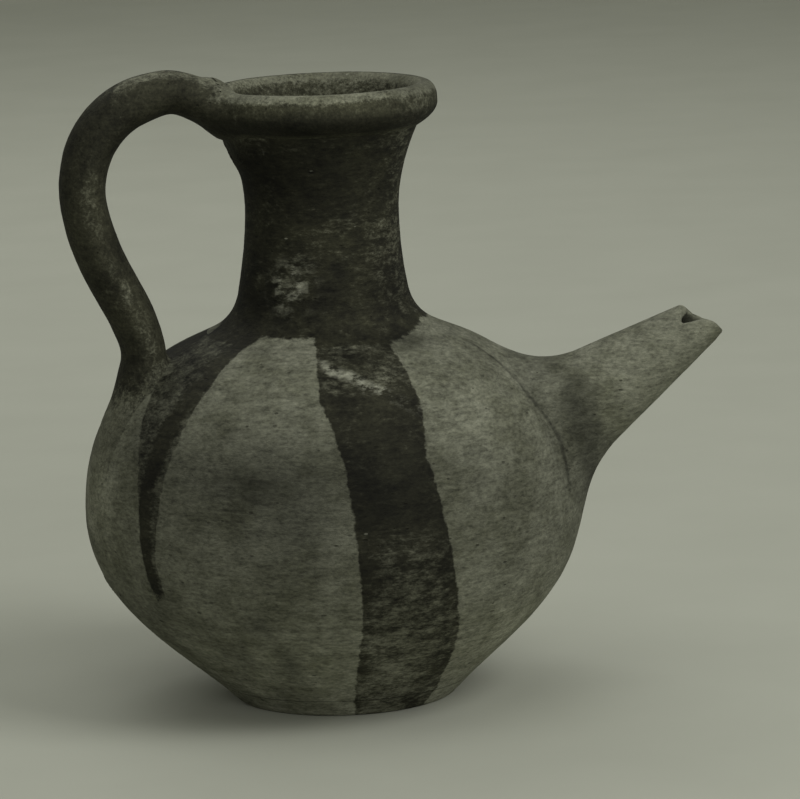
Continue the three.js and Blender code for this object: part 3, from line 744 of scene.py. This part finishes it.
def marks_on_vessel(points):
    """Signed distance into the paint (mm), rubbing, tone and flaking, from the place alone, so
    that neighbouring pieces agree where they meet."""
    z = points[:, 2]
    x = points[:, 0] - axis_shift(z)
    y = points[:, 1]
    azimuth = np.degrees(np.arctan2(y, x))
    radial = np.hypot(x, y)
    arc = np.radians(1) * np.maximum(radial, 20)
    low_half = z < SHOULDER_TOP

    neck_ring = z - at_edge(NECK_RING_EDGE, azimuth)
    front = np.minimum(azimuth - at_edge(FRONT_BAND_LEFT, z), at_edge(FRONT_BAND_RIGHT, z) - azimuth) * arc
    turned = np.where(azimuth > 0, azimuth - 360, azimuth)
    band_edge, band_inner = at_edge(HANDLE_BAND_EDGE, z), at_edge(HANDLE_BAND_INNER, z)
    handle_band = np.minimum(np.minimum(band_edge - turned, turned - band_inner) * arc, (z - 50) / 3)
    back = [(half_width - np.abs(azimuth - middle)) * arc for middle, half_width in BACK_BANDS]
    from_tail = np.abs(turned - TAIL_AZIMUTH) * arc
    tail_slip = np.minimum(TAIL_SLIP_HALF_WIDTH - from_tail, (z - TAIL_SLIP_END) * 0.5)
    tail_slip = np.where(low_half, tail_slip, -PAINT_RANGE)
    paint = np.max([neck_ring, front, handle_band, tail_slip, *back], axis=0)

    offset = points - spout_foot
    along = offset @ spout_out
    about = np.degrees(np.arctan2(offset @ spout_side, offset @ spout_up))
    skin_off = np.abs(spout_distance(points))
    ragged = 2.2 * noise(points, 5, 43, 3)
    at_root = smooth(15, 9, skin_off) * (along > -16) * (x > 0)
    patch = np.min([
        at_edge(PATCH_FAR_EDGE, about) - along, along - at_edge(PATCH_NEAR_EDGE, about), (-44 - about) * 0.3,
    ], axis=0)
    patch = smooth(-2.2, 2.2, patch + ragged) * at_root
    rough_root = smooth(17, 8, along + ragged) * smooth(-16, -9, along) * at_root
    on_spout = smooth(6, 16, along) * smooth(6, 2, skin_off) * (x > 0)
    line = smooth(1.6, 0.2, np.abs(np.abs(azimuth) - at_edge(SPOUT_LINE, z)) * arc + 0.4 * ragged)
    line *= between(z, 72, 84, 126, 136)

    rub = 0.20 + 0.14 * noise(points, 9, 44, 2)
    for amount, heights, azimuths in RUBBED:
        rub += amount * between(z, *heights) * between(azimuth, *azimuths)
    worn_low = smooth(80, 66, z + 6 * noise(points, 14, 46, 2)) * between(azimuth, -88, -76, -66, -58)
    rub += 0.22 * worn_low
    darkest = np.abs(turned - at_edge(HANDLE_BAND_DARKEST, z)) * arc
    beside_dark = smooth(1.6, 3.4 + 0.06 * (z - 60), darkest + 0.4 * ragged)
    rub += 0.36 * beside_dark * low_half * (handle_band > -3) * (turned < -120) * (turned > -182)
    rub += 0.75 * (tail_slip > -3) * (handle_band < -1) * smooth(128, 104, z) * smooth(24, 18, from_tail)
    near_patch = bell(azimuth, WORN_PATCH[0], 12) * bell(z, WORN_PATCH[1], 7)
    rub += 0.35 * near_patch
    inside = (radial < CREST_RADIUS - 1) & (z > 200)
    rub += 0.10 * inside

    tone = 1 + 0.10 * noise(points, 55, 31, 2) + 0.10 * noise(points, 8, 32, 3)
    # Soil and wear, with painted light and shade, from the clouds above.
    for middle, height, wide, high, amount in SOIL_WEAR_AND_PAINTED_LIGHT:
        tone += amount * bell(azimuth, middle, wide) * bell(z, height, high)
    # Painted light and shade: the clay is painted paler or darker with height, and the spout 1.15 times
    # lighter where light falls on it.
    tone *= at_edge(PAINTED_LIGHT_BY_HEIGHT, z) * (1 - on_spout) + 1.15 * on_spout
    # Painted shade: the left of the front, away from the window light, is painted darker through the middle
    # of the belly.
    tone *= 1 - 0.10 * smooth(-60, -80, azimuth) * smooth(114, 104, z) * smooth(30, 50, z)
    tone *= 1 + 0.5 * inside * smooth(204, 210, z)
    # Painted shade: the lip's underside and lower outer face are painted darker.
    tone *= 1 - 0.50 * between(z, 205, 209, 212, 216) * (radial > CREST_RADIUS)
    scored = smooth(0.22, 0.45, noise(points, (9, 9, 1.3), 48, 2))
    scored *= bell(azimuth, SCRATCHES[0], 11) * bell(z, SCRATCHES[1], 9)
    tone *= 1 - 0.5 * scored
    tone *= (1 - 0.24 * rough_root) * (1 - 0.34 * patch) * (1 - 0.50 * line)

    flake = smooth(3.0, 0.4, np.abs(z - at_edge(PALE_STREAK, azimuth) + 0.8 * ragged))
    flake *= between(azimuth, -93, -88, -65, -61)
    flake *= 0.25 + 0.50 * smooth(-0.25, 0.25, noise(points, 4, 45, 2))
    spots = losses(points, seed=91, cell=4, share=0.20, depth=1.0, radius=0.65)
    speckled = 0.03 + 0.65 * worn_low * (z > 38) * low_half + 0.5 * rough_root + 0.7 * inside
    speckled += 0.9 * near_patch + 0.5 * smooth(214, 219, z)
    flake = np.maximum(flake, spots * speckled)
    flake = np.maximum(flake, near_patch * smooth(-0.15, 0.15, noise(points, 3, 47, 2)))
    return dict(
        paint=np.clip(paint, -PAINT_RANGE, PAINT_RANGE),
        rub=np.clip(rub, 0, 1),
        tone=np.clip(tone, 0.25, 2.5),
        flake=np.clip(flake, 0, 1),
    )


def marks_on_strap(rings, turn):
    """The strap is painted all over; the hand has rubbed its crown and the middle of its shin. The crown's
    top is also painted lighter, a painted highlight, and its underside darker, a painted shade.
    """
    flat = rings.reshape(-1, 3)
    share = (np.arange(len(rings)) / len(rings))[:, None]
    degrees = np.degrees(turn)[None, :]
    crown = smooth(0.30, 0.22, share)
    shin = smooth(0.30, 0.40, share)
    on_top = bell(degrees, 18, 30) + bell(degrees, 378, 30)
    middle = bell(degrees, 96, 24) + bell(degrees, 264, 24)
    blotches = noise(flat, (6, 6, 14), 55, 3).reshape(len(rings), -1)
    tail = smooth(HANDLE_TOE_HEIGHT + 12, HANDLE_TOE_HEIGHT - 4, strap[:, 1])[:, None] * (share > 0.5)
    rub = 0.17 + 0.50 * crown * on_top + 0.20 * shin * middle + 0.16 * blotches + 0.60 * tail
    # Painted shade under the crown; the crown's top is painted lighter for wear and as a painted highlight.
    under = bell(degrees, 180, 60)
    tone = 1 + 0.14 * noise(flat, 14, 56, 3).reshape(rub.shape) - 0.35 * under * crown
    tone += 0.50 * crown * on_top + 0.25 * shin * middle + 0.50 * tail
    scabs = losses(flat, seed=92, cell=7, share=0.10, depth=1.0, radius=0.7)
    return dict(
        paint=np.full(rub.shape, 9.0),
        rub=np.clip(rub, 0, 1),
        tone=np.clip(tone, 0.3, 2),
        flake=0.3 * scabs.reshape(rub.shape),
    )


# Materials.

def linear(hex_colour):
    """An sRGB hex colour as the linear values that a shader takes."""
    parts = [int(hex_colour[i:i + 2], 16) / 255 for i in (1, 3, 5)]
    return (*[p / 12.92 if p <= 0.04045 else ((p + 0.055) / 1.055) ** 2.4 for p in parts], 1)


def add_node(tree, kind, inputs, result=0, **settings):
    """Adds a shader node: inputs maps sockets to numbers, colours or the sockets linked to them."""
    made = tree.nodes.new("ShaderNode" + kind)
    for key, value in settings.items():
        setattr(made, key, value)
    for key, value in inputs.items():
        if isinstance(value, bpy.types.NodeSocket):
            tree.links.new(value, made.inputs[key])
        else:
            made.inputs[key].default_value = value
    return made.outputs[result] if len(made.outputs) else made


SPRUNG_CLAY = "#77786A"
HOLE_SHADOW = "#15150E"


def slip_painted_clay(name, clay="#646557", shaded="#4A4B3D", slip="#16160F", thin_slip="#2A2A1F",
                      level=0.45):
    """Low-fired earthenware with a dark slip brushed on: dull, slightly gritty, wiped in fine level
    lines; the slip has a broken edge and is rubbed through where hands and soil wore it. Level is
    how much the grains are drawn out along the wheel's turn."""
    material = bpy.data.materials.new(name)
    material.use_nodes = True
    tree = material.node_tree
    tree.nodes.clear()
    node = partial(add_node, tree)
    place = node("TexCoord", {}, "Object")

    # Grains: clouds of firing 22 mm across, mottling of 3 mm, specks, grit and level wiping lines.
    wide_place = node("Mapping", {"Vector": place, "Scale": (level, level, 1)})
    flat_place = node("Mapping", {"Vector": place, "Scale": (0.12, 0.12, 1)})
    clouds = node("TexNoise", {"Vector": place, "Scale": 1 / (22 * MM), "Detail": 5, "Roughness": 0.6})
    mottle = node("TexNoise", {"Vector": wide_place, "Scale": 1 / (3 * MM), "Detail": 6, "Roughness": 0.7})
    grit = node("TexNoise", {"Vector": wide_place, "Scale": 1 / MM, "Detail": 4, "Roughness": 0.75})
    wiping = node("TexNoise", {"Vector": flat_place, "Scale": 1 / (1.8 * MM), "Detail": 5, "Roughness": 0.65})
    ragged = node("TexNoise", {"Vector": place, "Scale": 1 / (2.8 * MM), "Detail": 5, "Roughness": 0.65})
    paint, rub, tone, flake = (
        node("Attribute", {}, "Fac", attribute_name=mark) for mark in ("paint", "rub", "tone", "flake")
    )

    # Bare clay: light and shaded by turns.
    cloudy = node("MapRange", {0: clouds, 1: 0.36, 2: 0.62}, interpolation_type="SMOOTHSTEP")
    mottled = node("MapRange", {0: mottle, 1: 0.36, 2: 0.60}, interpolation_type="SMOOTHSTEP")
    most_cloudy = node("Math", {0: cloudy, 1: 0.65}, operation="MULTIPLY")
    shade = node("Math", {0: mottled, 1: 0.35, 2: most_cloudy}, operation="MULTIPLY_ADD")
    bare = node("Mix", {0: shade, 6: linear(shaded), 7: linear(clay)}, 2, data_type="RGBA")

    # Slip: its edge wanders by about a millimetre; it thins in fine specks where it is rubbed.
    wander = node("Math", {0: ragged, 1: 3.4, 2: -1.7}, operation="MULTIPLY_ADD")
    depth = node("Math", {0: paint, 1: wander}, operation="ADD")
    covered = node("MapRange", {0: depth, 1: -0.45, 2: 0.45}, interpolation_type="SMOOTHSTEP")
    speckle = node("Math", {0: grit, 1: 0.8, 2: -0.90}, operation="MULTIPLY_ADD")
    speckle = node("Math", {0: mottle, 1: 1.0, 2: speckle}, operation="MULTIPLY_ADD")
    worn = node("Math", {0: rub, 1: speckle}, operation="ADD")
    thinned = node("MapRange", {0: worn, 1: 0.30, 2: 0.85}, interpolation_type="SMOOTHSTEP")
    dense = node("Mix", {0: shade, 6: linear(slip), 7: linear(thin_slip)}, 2, data_type="RGBA")
    showing = node("Mix", {0: 0.6, 6: linear(thin_slip), 7: bare}, 2, data_type="RGBA")
    layer = node("Mix", {0: thinned, 6: dense, 7: showing}, 2, data_type="RGBA")
    colour = node("Mix", {0: covered, 6: bare, 7: layer}, 2, data_type="RGBA")

    # Flakes: pale clay where slip and skin have sprung off.
    broken = node("MapRange", {0: mottle, 1: 0.44, 2: 0.58}, interpolation_type="SMOOTHSTEP")
    chipped = node("Math", {0: flake, 1: broken}, operation="MULTIPLY")
    colour = node("Mix", {0: chipped, 6: colour, 7: linear(SPRUNG_CLAY)}, 2, data_type="RGBA")

    # Pinholes and nicks where grit has dropped out: points of all sizes, wider than high, with painted shade
    # in them, and here and there a pale grain.
    spread = node("TexVoronoi", {"Vector": wide_place, "Scale": 1 / (2.2 * MM)}, "Distance")
    pick = node("TexVoronoi", {"Vector": wide_place, "Scale": 1 / (2.2 * MM)}, "Color")
    chance = node("SeparateColor", {"Color": pick}, "Red")
    size = node("SeparateColor", {"Color": pick}, "Green")
    width = node("Math", {0: size, 1: 0.24, 2: 0.04}, operation="MULTIPLY_ADD")
    point = node("Math", {0: spread, 1: width}, operation="DIVIDE")
    point = node("MapRange", {0: point, 1: 1.0, 2: 0.4}, interpolation_type="SMOOTHSTEP")
    rare = node("Math", {0: chance, 1: 0.80}, operation="GREATER_THAN")
    hole = node("Math", {0: rare, 1: point}, operation="MULTIPLY")
    dark = node("Math", {0: hole, 1: 0.55}, operation="MULTIPLY")
    colour = node("Mix", {0: dark, 6: colour, 7: linear(HOLE_SHADOW)}, 2, data_type="RGBA")
    seldom = node("MapRange", {0: chance, 1: 0.04, 2: 0.03, 4: 0.5})
    core = node("Math", {0: point, 1: 0.9}, operation="GREATER_THAN")
    grain = node("Math", {0: seldom, 1: core}, operation="MULTIPLY")
    colour = node("Mix", {0: grain, 6: colour, 7: linear(SPRUNG_CLAY)}, 2, data_type="RGBA")

    # Fine tone: grit and wiping lines lighten and darken the whole.
    fine = -0.92
    for grains, weight in ((grit, 2.4), (mottle, 0.4), (wiping, 1.04)):
        fine = node("Math", {0: grains, 1: weight, 2: fine}, operation="MULTIPLY_ADD")
    fine = node("Math", {0: fine, 1: tone}, operation="MULTIPLY")
    toned = node("VectorMath", {0: colour, "Scale": fine}, operation="SCALE")

    height = 0.0
    for grains, rise in ((grit, 0.26), (wiping, 0.12), (mottle, 0.30), (hole, -0.30), (chipped, -0.12)):
        height = node("Math", {0: grains, 1: rise, 2: height}, operation="MULTIPLY_ADD")
    bump = node("Bump", {"Height": height, "Distance": MM, "Strength": 1.0})

    shader = node("BsdfPrincipled", {
        "Base Color": toned, "Roughness": 0.82, "Normal": bump, "Specular IOR Level": 0.12,
    })
    node("OutputMaterial", {"Surface": shader})
    return material


fired_clay = slip_painted_clay("wiped earthenware, fired olive grey")
dark_slip = slip_painted_clay("dark slip brushed on earthenware", slip="#12120D", thin_slip="#26261B")
rubbed_slip = slip_painted_clay("rubbed dark slip on earthenware", slip="#1C1C14", thin_slip="#313125",
                                level=0.9)


# The thrown members.

BODY_AROUND = 640
NECK_AROUND = 440
STRAP_AROUND = 112
SPOUT_AROUND = 180
FILLET_AROUND = 300
FILLET_ROWS = 26
ROW = 0.8


def turned_rings(path, around):
    """A path of radius and height turned round the bowed axis."""
    turn = full_turn(around)
    radius = path[:, 0][:, None]
    height = np.repeat(path[:, 1][:, None], around, 1)
    return np.stack([radius * np.cos(turn) + axis_shift(height), radius * np.sin(turn), height], -1)


def square_to_form(form, outside):
    return unit(gradient(form, outside.reshape(-1, 3))).reshape(outside.shape)


def thrown(name, outer, inner, around, node, material, joined=None):
    """A thrown member: its outside face carries the relief and may be joined to the strap."""
    rings = turned_rings(np.concatenate([outer, inner]), around)
    outside = rings[:len(outer)]
    marks = marks_on_vessel(rings.reshape(-1, 3))
    form = vessel_distance
    if joined:
        reach, *where = joined
        outside = join_to(outside, vessel_distance, strap_distance, reach, *where)
        form = hollow_join(vessel_distance, strap_distance, reach)
    rings = relieve(np.concatenate([outside, rings[len(outer):]]), square_to_form(form, outside))
    finish(skin(name, rings, loop=True), marks, node, material)


def build_foot_disc():
    foot = resample(lower_line[lower_line[:, 1] <= BASE_THICKNESS], ROW)
    below = [[BASE_RADIUS - 9, 0.4], [BASE_RADIUS - 5, 0], [BASE_RADIUS - 0.8, 0]]
    edge = np.concatenate([[[BASE_RADIUS - 0.2, 0.2]], foot[1:]])
    above = [[edge[-1, 0] - BODY_WALL, BASE_THICKNESS], [BASE_RADIUS - 9, BASE_THICKNESS]]
    rings = turned_rings(np.concatenate([below, edge, above]), BODY_AROUND)
    marks = marks_on_vessel(rings.reshape(-1, 3))
    first = len(below)
    outward = square_to_form(vessel_distance, rings[first:first + len(edge)])
    lowered = relieve(rings[first:], outward, np.clip(edge[:, 1] / 3, 0, 1))
    disc = skin("foot_disc", np.concatenate([rings[:first], lowered]))
    finish(disc, marks, "base_disc", fired_clay)


def inner_wall(line, low, high):
    """The inside of a bowl between two heights, from the top down."""
    inner = resample(inward(line, BODY_WALL), 4)
    return inner[(inner[:, 1] > low) & (inner[:, 1] < high)][::-1]


def build_vessel():
    build_foot_disc()
    rest = lower_line[lower_line[:, 1] > BASE_THICKNESS]
    top_of_disc = np.array([np.interp(BASE_THICKNESS, lower_line[:, 1], lower_line[:, 0]), BASE_THICKNESS])
    rest = np.concatenate([[top_of_disc], rest])
    seam = [[BELLY_RADIUS - BODY_WALL, BELLY_HEIGHT]]
    inner = np.concatenate([
        seam, inner_wall(rest, BASE_THICKNESS, BELLY_HEIGHT),
        [[top_of_disc[0] - BODY_WALL / math.sin(flare), BASE_THICKNESS]],
    ])
    on_handle_side = (foot_join, lambda p: (p[:, 0] < 0) & (p[:, 2] < 140))
    thrown("lower_bowl", resample(rest, ROW), inner, BODY_AROUND, "lower_body", fired_clay,
           on_handle_side)

    bore = FOOT_RADIUS - NECK_WALL
    depth = BODY_WALL * 0.75
    inner = np.concatenate([
        [[bore, seat_height], [bore, seat_height - depth]],
        inner_wall(upper_line, BELLY_HEIGHT, seat_height - depth), seam,
    ])
    outer = np.concatenate([resample(upper_line, ROW), [[coil_radius, seat_height]]])
    thrown("upper_bowl", outer, inner, BODY_AROUND, "upper_body", fired_clay, on_handle_side)

    heights = np.linspace(coil_top, seat_height, 6)
    inner = np.stack([neck_radius(heights) - 0.8, heights], 1)
    thrown("coil_at_neck", resample(coil_line, ROW), inner, NECK_AROUND, "neck_coil", dark_slip)

    inner = resample(neck_line - np.array([NECK_WALL, 0]), 2.5)[::-1]
    thrown("neck_tube", resample(neck_line, ROW), inner, NECK_AROUND, "neck", dark_slip,
           (head_join, lambda p: p[:, 2] > 170))

    throat = LIP_ROOT_RADIUS - NECK_WALL
    inner = bezier(
        (CREST_RADIUS, CREST_HEIGHT),
        (CREST_RADIUS - LIP_FULLNESS, CREST_HEIGHT),
        (throat + 2.6, CREST_HEIGHT - LIP_UNDERSIDE),
        (throat, LIP_ROOT_HEIGHT),
    )
    outer = np.concatenate([resample(lip_line, 0.6), resample(inner, 0.6)[1:]])
    base = np.linspace(throat, LIP_ROOT_RADIUS, 4)[1:-1]
    floor_ring = np.stack([base, np.full(2, LIP_ROOT_HEIGHT)], 1)
    thrown("rolled_rim", outer, floor_ring, NECK_AROUND, "rim", rubbed_slip,
           (head_join, outside_of_rim, top_of_rim))


def from_axis(points):
    return np.hypot(points[:, 0] - axis_shift(points[:, 2]), points[:, 1])


def head_join(points):
    """The strap's head is smoothed into the rim above, with more clay into the neck below."""
    return 6 + 2 * smooth(202, 192, points[:, 2])


def outside_of_rim(points):
    return from_axis(points) > np.minimum(vessel_radius(points[:, 2]), CREST_RADIUS + 0.5) - 1.5


def top_of_rim(points):
    """Where the rim's skin runs over the strap's head and not under it."""
    return smooth(LIP_RADIUS + 0.8, LIP_RADIUS - 1.2, from_axis(points)) * smooth(214, 217, points[:, 2])


def foot_join(points):
    """The strap's foot is smoothed into the wall; its tail lies flat on it."""
    return 0.8 + 4.2 * smooth(92, 114, points[:, 2])


def build_strap():
    turn = full_turn(STRAP_AROUND)
    thick = strap[:, 2][:, None] * np.cos(turn)
    side = strap[:, 3][:, None] * np.sin(turn)
    reach = strap[:, 0][:, None] + strap_out[:, 0][:, None] * thick
    height = strap[:, 1][:, None] + strap_out[:, 1][:, None] * thick
    rings = in_handle_plane(reach, height, side)
    rings = join_to(rings, strap_distance, vessel_distance, head_join, lambda p: p[:, 2] > 170)
    rings = join_to(rings, strap_distance, vessel_distance, foot_join, lambda p: p[:, 2] < 140)
    # The head dives under the skin of the rim and ends inside the wall, never in the bore.
    flat = rings.reshape(-1, 3)
    radial = from_axis(flat)
    diving = (flat[:, 2] > 212) & (radial < LIP_RADIUS) & (vessel_distance(flat) > -3)
    joined = hollow_join(strap_distance, vessel_distance, head_join)
    sink = -0.7 * smooth(LIP_RADIUS - 1, LIP_RADIUS - 3.5, radial) * smooth(212, 218, flat[:, 2])
    flat[diving] = settle(flat[diving], joined, sink[diving])
    centre = axis_shift(flat[:, 2])
    radial = from_axis(flat)
    at_crest = smooth(208, 216, flat[:, 2])
    least = (vessel_radius(np.minimum(flat[:, 2], CREST_HEIGHT - 2)) - 2.6) * (1 - at_crest)
    least += (CREST_RADIUS + 0.8) * at_crest
    push = np.where((flat[:, 2] > 150) & (radial < least), least / np.maximum(radial, 1), 1)
    flat[:, 0] = centre + (flat[:, 0] - centre) * push
    flat[:, 1] *= push
    rings = flat.reshape(rings.shape)
    marks = marks_on_strap(rings, turn)
    beside = smooth(7, 0, vessel_distance(flat)).reshape(rings.shape[:2])
    for name, values in marks_on_vessel(flat).items():
        marks[name] = marks[name] * (1 - beside) + values.reshape(beside.shape) * beside
    rings = relieve(rings, square_to(rings))
    later = np.arange(len(strap)) > len(strap) * 0.6
    toe = int(np.argmin(np.abs(strap[:, 1] - HANDLE_TOE_HEIGHT) + 100 * ~later))
    for name, part, node in (
        ("strap", slice(0, toe + 1), "handle"), ("strap_tail", slice(toe, None), "handle_tail"),
    ):
        piece = skin(name, rings[part])
        finish(piece, {key: value[part] for key, value in marks.items()}, node, rubbed_slip)


# The spout.

# How far along the axis the mouth is cut, against the height above the axis: the far side runs
# down in one slope, the near side is cut back round the bore.
CUT_FAR = [(-7.6, 66.2), (-5.1, 65.4), (-3.6, 64.6), (-0.5, 61.8), (1.6, 60.8), (3.1, 59.9), (6.5, 59.4),
           (9.5, 59)]
CUT_NEAR = [(-7.6, 66.2), (-3.8, 65.7), (-1.4, 64.7), (0.8, 63.3), (2.2, 61.4), (3.4, 58.6), (4.6, 55.9),
            (6.2, 55.1), (8.2, 56.2), (9.5, 58)]


def mouth_cut(above, sideways):
    near = smooth(1.5, -3.5, sideways)
    return at_edge(CUT_FAR, above) * (1 - near) + at_edge(CUT_NEAR, above) * near


def cut_end(radius_at, turn):
    end = np.full(turn.shape, float(SPOUT_MOUTH))
    for _ in range(40):
        radius = radius_at(end)
        end = 0.6 * end + 0.4 * mouth_cut(radius * np.cos(turn), radius * np.sin(turn))
    return end


def build_spout():
    turn = full_turn(SPOUT_AROUND)
    start = spout_meets_wall(turn) - 3
    end = cut_end(spout_radius, turn)
    bore_end = np.minimum(cut_end(lambda along: 0 * along + MOUTH_RADIUS, turn), end)
    rings = []
    for share in np.linspace(0, 1, 84):
        along = start + (end - LIP_ROUNDING - start) * share
        rings.append(on_spout_skin(along, turn))
    outer_radius = spout_radius(end)
    for share in np.linspace(0, 1, 13)[1:]:
        arc = math.pi * share
        radius = (outer_radius + MOUTH_RADIUS + (outer_radius - MOUTH_RADIUS) * math.cos(arc)) / 2
        along = end + (bore_end - end) * (1 - math.cos(arc)) / 2 - LIP_ROUNDING * (1 - math.sin(arc))
        rings.append(about_spout(along, radius, turn))
    shown = len(rings)
    for share in np.linspace(0, 1, 26)[1:]:
        along = bore_end - LIP_ROUNDING + (-4 - bore_end) * share
        rings.append(about_spout(along, bore_radius(along) + MOUTH_FLARE * (1 - share) ** 8, turn))
    rings = np.array(rings)
    marks = marks_on_vessel(rings.reshape(-1, 3))
    # Painted shade: the mouth's inner edge is painted darker and the bore much darker.
    marks["tone"][(shown - 3) * SPOUT_AROUND:shown * SPOUT_AROUND] *= 0.75
    marks["tone"][shown * SPOUT_AROUND:] *= 0.25
    piece = skin("spout_tube", relieve(rings, square_to(rings[:shown - 2])), loop=True)
    finish(piece, marks, "spout", fired_clay)


def fillet_reach(points):
    """The hollow curve at the spout's root is wide on top and narrow below."""
    offset = points - spout_foot
    turn = np.arctan2(offset @ spout_side, offset @ spout_up)
    return 12.3 + 0.8 * np.cos(turn) + 5.5 * np.cos(turn) ** 2


def build_spout_fillet():
    turn = full_turn(FILLET_AROUND)
    meet = spout_meets_wall(turn)
    corner = on_spout_skin(meet, turn)
    width = fillet_reach(corner)
    up_spout = meet + width
    for _ in range(10):
        up_spout = up_spout + 0.8 * (width - vessel_distance(on_spout_skin(up_spout, turn)))
    far = on_spout_skin(up_spout, turn)
    wall_normal = unit(gradient(vessel_distance, corner))
    away = on_spout_skin(meet, turn, 1) - corner
    outward = unit(away - np.sum(away * wall_normal, 1)[:, None] * wall_normal)
    spread = width.copy()
    for _ in range(10):
        on_wall = settle(corner + spread[:, None] * outward, vessel_distance, rounds=2)
        spread = spread + 0.8 * (width - spout_distance(on_wall))
    field = hollow_join(vessel_distance, spout_distance, fillet_reach)
    rings = []
    for t in np.linspace(0, 1, FILLET_ROWS):
        place = (1 - t) ** 2 * on_wall + 2 * (1 - t) * t * corner + t * t * far
        level = -0.3 * (1 - smooth(0, 0.08, min(t, 1 - t)))
        rings.append(settle(place, field, float(level), 4))
    sunk = corner - 2.2 * (wall_normal + away)
    for share in (0.4, 0.8):
        rings.append(far + (sunk - far) * share)
    for share in (0.2, 0.6):
        rings.append(sunk + (on_wall - sunk) * share)
    rings = np.array(rings)
    marks = marks_on_vessel(rings.reshape(-1, 3))
    piece = skin("fillet_at_spout", relieve(rings, square_to(rings[:FILLET_ROWS])), loop=True)
    finish(piece, marks, "spout_collar", fired_clay)


build_vessel()
build_strap()
build_spout()
build_spout_fillet()


# Floor, light and camera.

def studio_paper():
    """Matt grey-green paper: an even, dull surface with a faint cloudiness."""
    material = bpy.data.materials.new("matt backdrop paper")
    material.use_nodes = True
    tree = material.node_tree
    tree.nodes.clear()
    node = partial(add_node, tree)
    place = node("TexCoord", {}, "Object")
    fibre = node("TexNoise", {"Vector": place, "Scale": 1 / (70 * MM), "Detail": 3})
    tint = node("Mix", {0: fibre, 6: linear("#9A9C8E"), 7: linear("#A2A496")}, 2, data_type="RGBA")
    shader = node("BsdfPrincipled", {"Base Color": tint, "Roughness": 0.9})
    node("OutputMaterial", {"Surface": shader})
    return material


def build_sweep():
    """A floor that curves up into the backdrop behind the jug; all in metres."""
    front, depth, bend, top, half_width = -2.2, 2.7, 0.6, 3.0, 3
    path = [(front, 0.0), (depth, 0.0)]
    for step in range(1, 17):
        angle = math.pi / 2 * step / 16
        path.append((depth + bend * math.sin(angle), bend * (1 - math.cos(angle))))
    path.append((depth + bend, top))
    columns = np.linspace(-half_width, half_width, 13)
    places = [(x, y, z) for y, z in path for x in columns]
    faces = []
    for row in range(len(path) - 1):
        for column in range(len(columns) - 1):
            a = row * len(columns) + column
            faces.append((a, a + 1, a + 1 + len(columns), a + len(columns)))
    mesh = bpy.data.meshes.new("paper_sweep")
    mesh.from_pydata(places, [], faces)
    mesh.shade_smooth()
    mesh.materials.append(studio_paper())
    sweep = bpy.data.objects.new("paper_sweep", mesh)
    bpy.context.scene.collection.objects.link(sweep)


def soft_light(name, place, aim, size, watts):
    lamp = bpy.data.lights.new(name, "AREA")
    lamp.shape = "SQUARE"
    lamp.size = size
    lamp.energy = watts
    holder = bpy.data.objects.new(name, lamp)
    holder.location = place
    holder.rotation_euler = (Vector(aim) - Vector(place)).to_track_quat("-Z", "Y").to_euler()
    bpy.context.scene.collection.objects.link(holder)


build_sweep()
soft_light("window_light", (1.15, -0.75, 1.35), (0, 0, 0.08), 0.9, 16)
soft_light("low_fill", (0.55, -1.7, 0.30), (0, 0, 0.06), 1.0, 12)
soft_light("top_fill", (-0.2, -0.3, 1.9), (0, 0.2, 0.0), 1.6, 7)
soft_light("backdrop_light", (-0.4, 1.3, 1.3), (-0.35, 1.25, 0.0), 1.2, 8)

world = bpy.data.worlds.new("room")
bpy.context.scene.world = world
world.use_nodes = True
room_light = world.node_tree.nodes["Background"].inputs
room_light["Color"].default_value = linear("#F4F5EE")
room_light["Strength"].default_value = 0.38

scene = bpy.context.scene
scene.view_settings.view_transform = "Standard"

# A long lens in front of the jug, looking down a little, slightly out of level as in the print.
CAMERA_TILT = math.radians(10.08)
CAMERA_ROLL = math.radians(2.133)
CAMERA_PLACE = (0.02335, -1.74816, 0.41751)
LENS_MM = 221.6
SENSOR_MM = 36
FAR_CLIP = 50
ahead = np.array([0, math.cos(CAMERA_TILT), -math.sin(CAMERA_TILT)])
level = np.array([1.0, 0, 0])
upward = np.array([0, math.sin(CAMERA_TILT), math.cos(CAMERA_TILT)])
right = math.cos(CAMERA_ROLL) * level - math.sin(CAMERA_ROLL) * upward
top = math.sin(CAMERA_ROLL) * level + math.cos(CAMERA_ROLL) * upward
camera = bpy.data.objects.new("camera", bpy.data.cameras.new("camera"))
camera.data.lens = LENS_MM
camera.data.sensor_width = SENSOR_MM
camera.data.clip_end = FAR_CLIP
placement = Matrix.Identity(4)
for row in range(3):
    placement[row][:3] = right[row], top[row], -ahead[row]
placement.translation = Vector(CAMERA_PLACE)
camera.matrix_world = placement
scene.collection.objects.link(camera)
scene.camera = camera
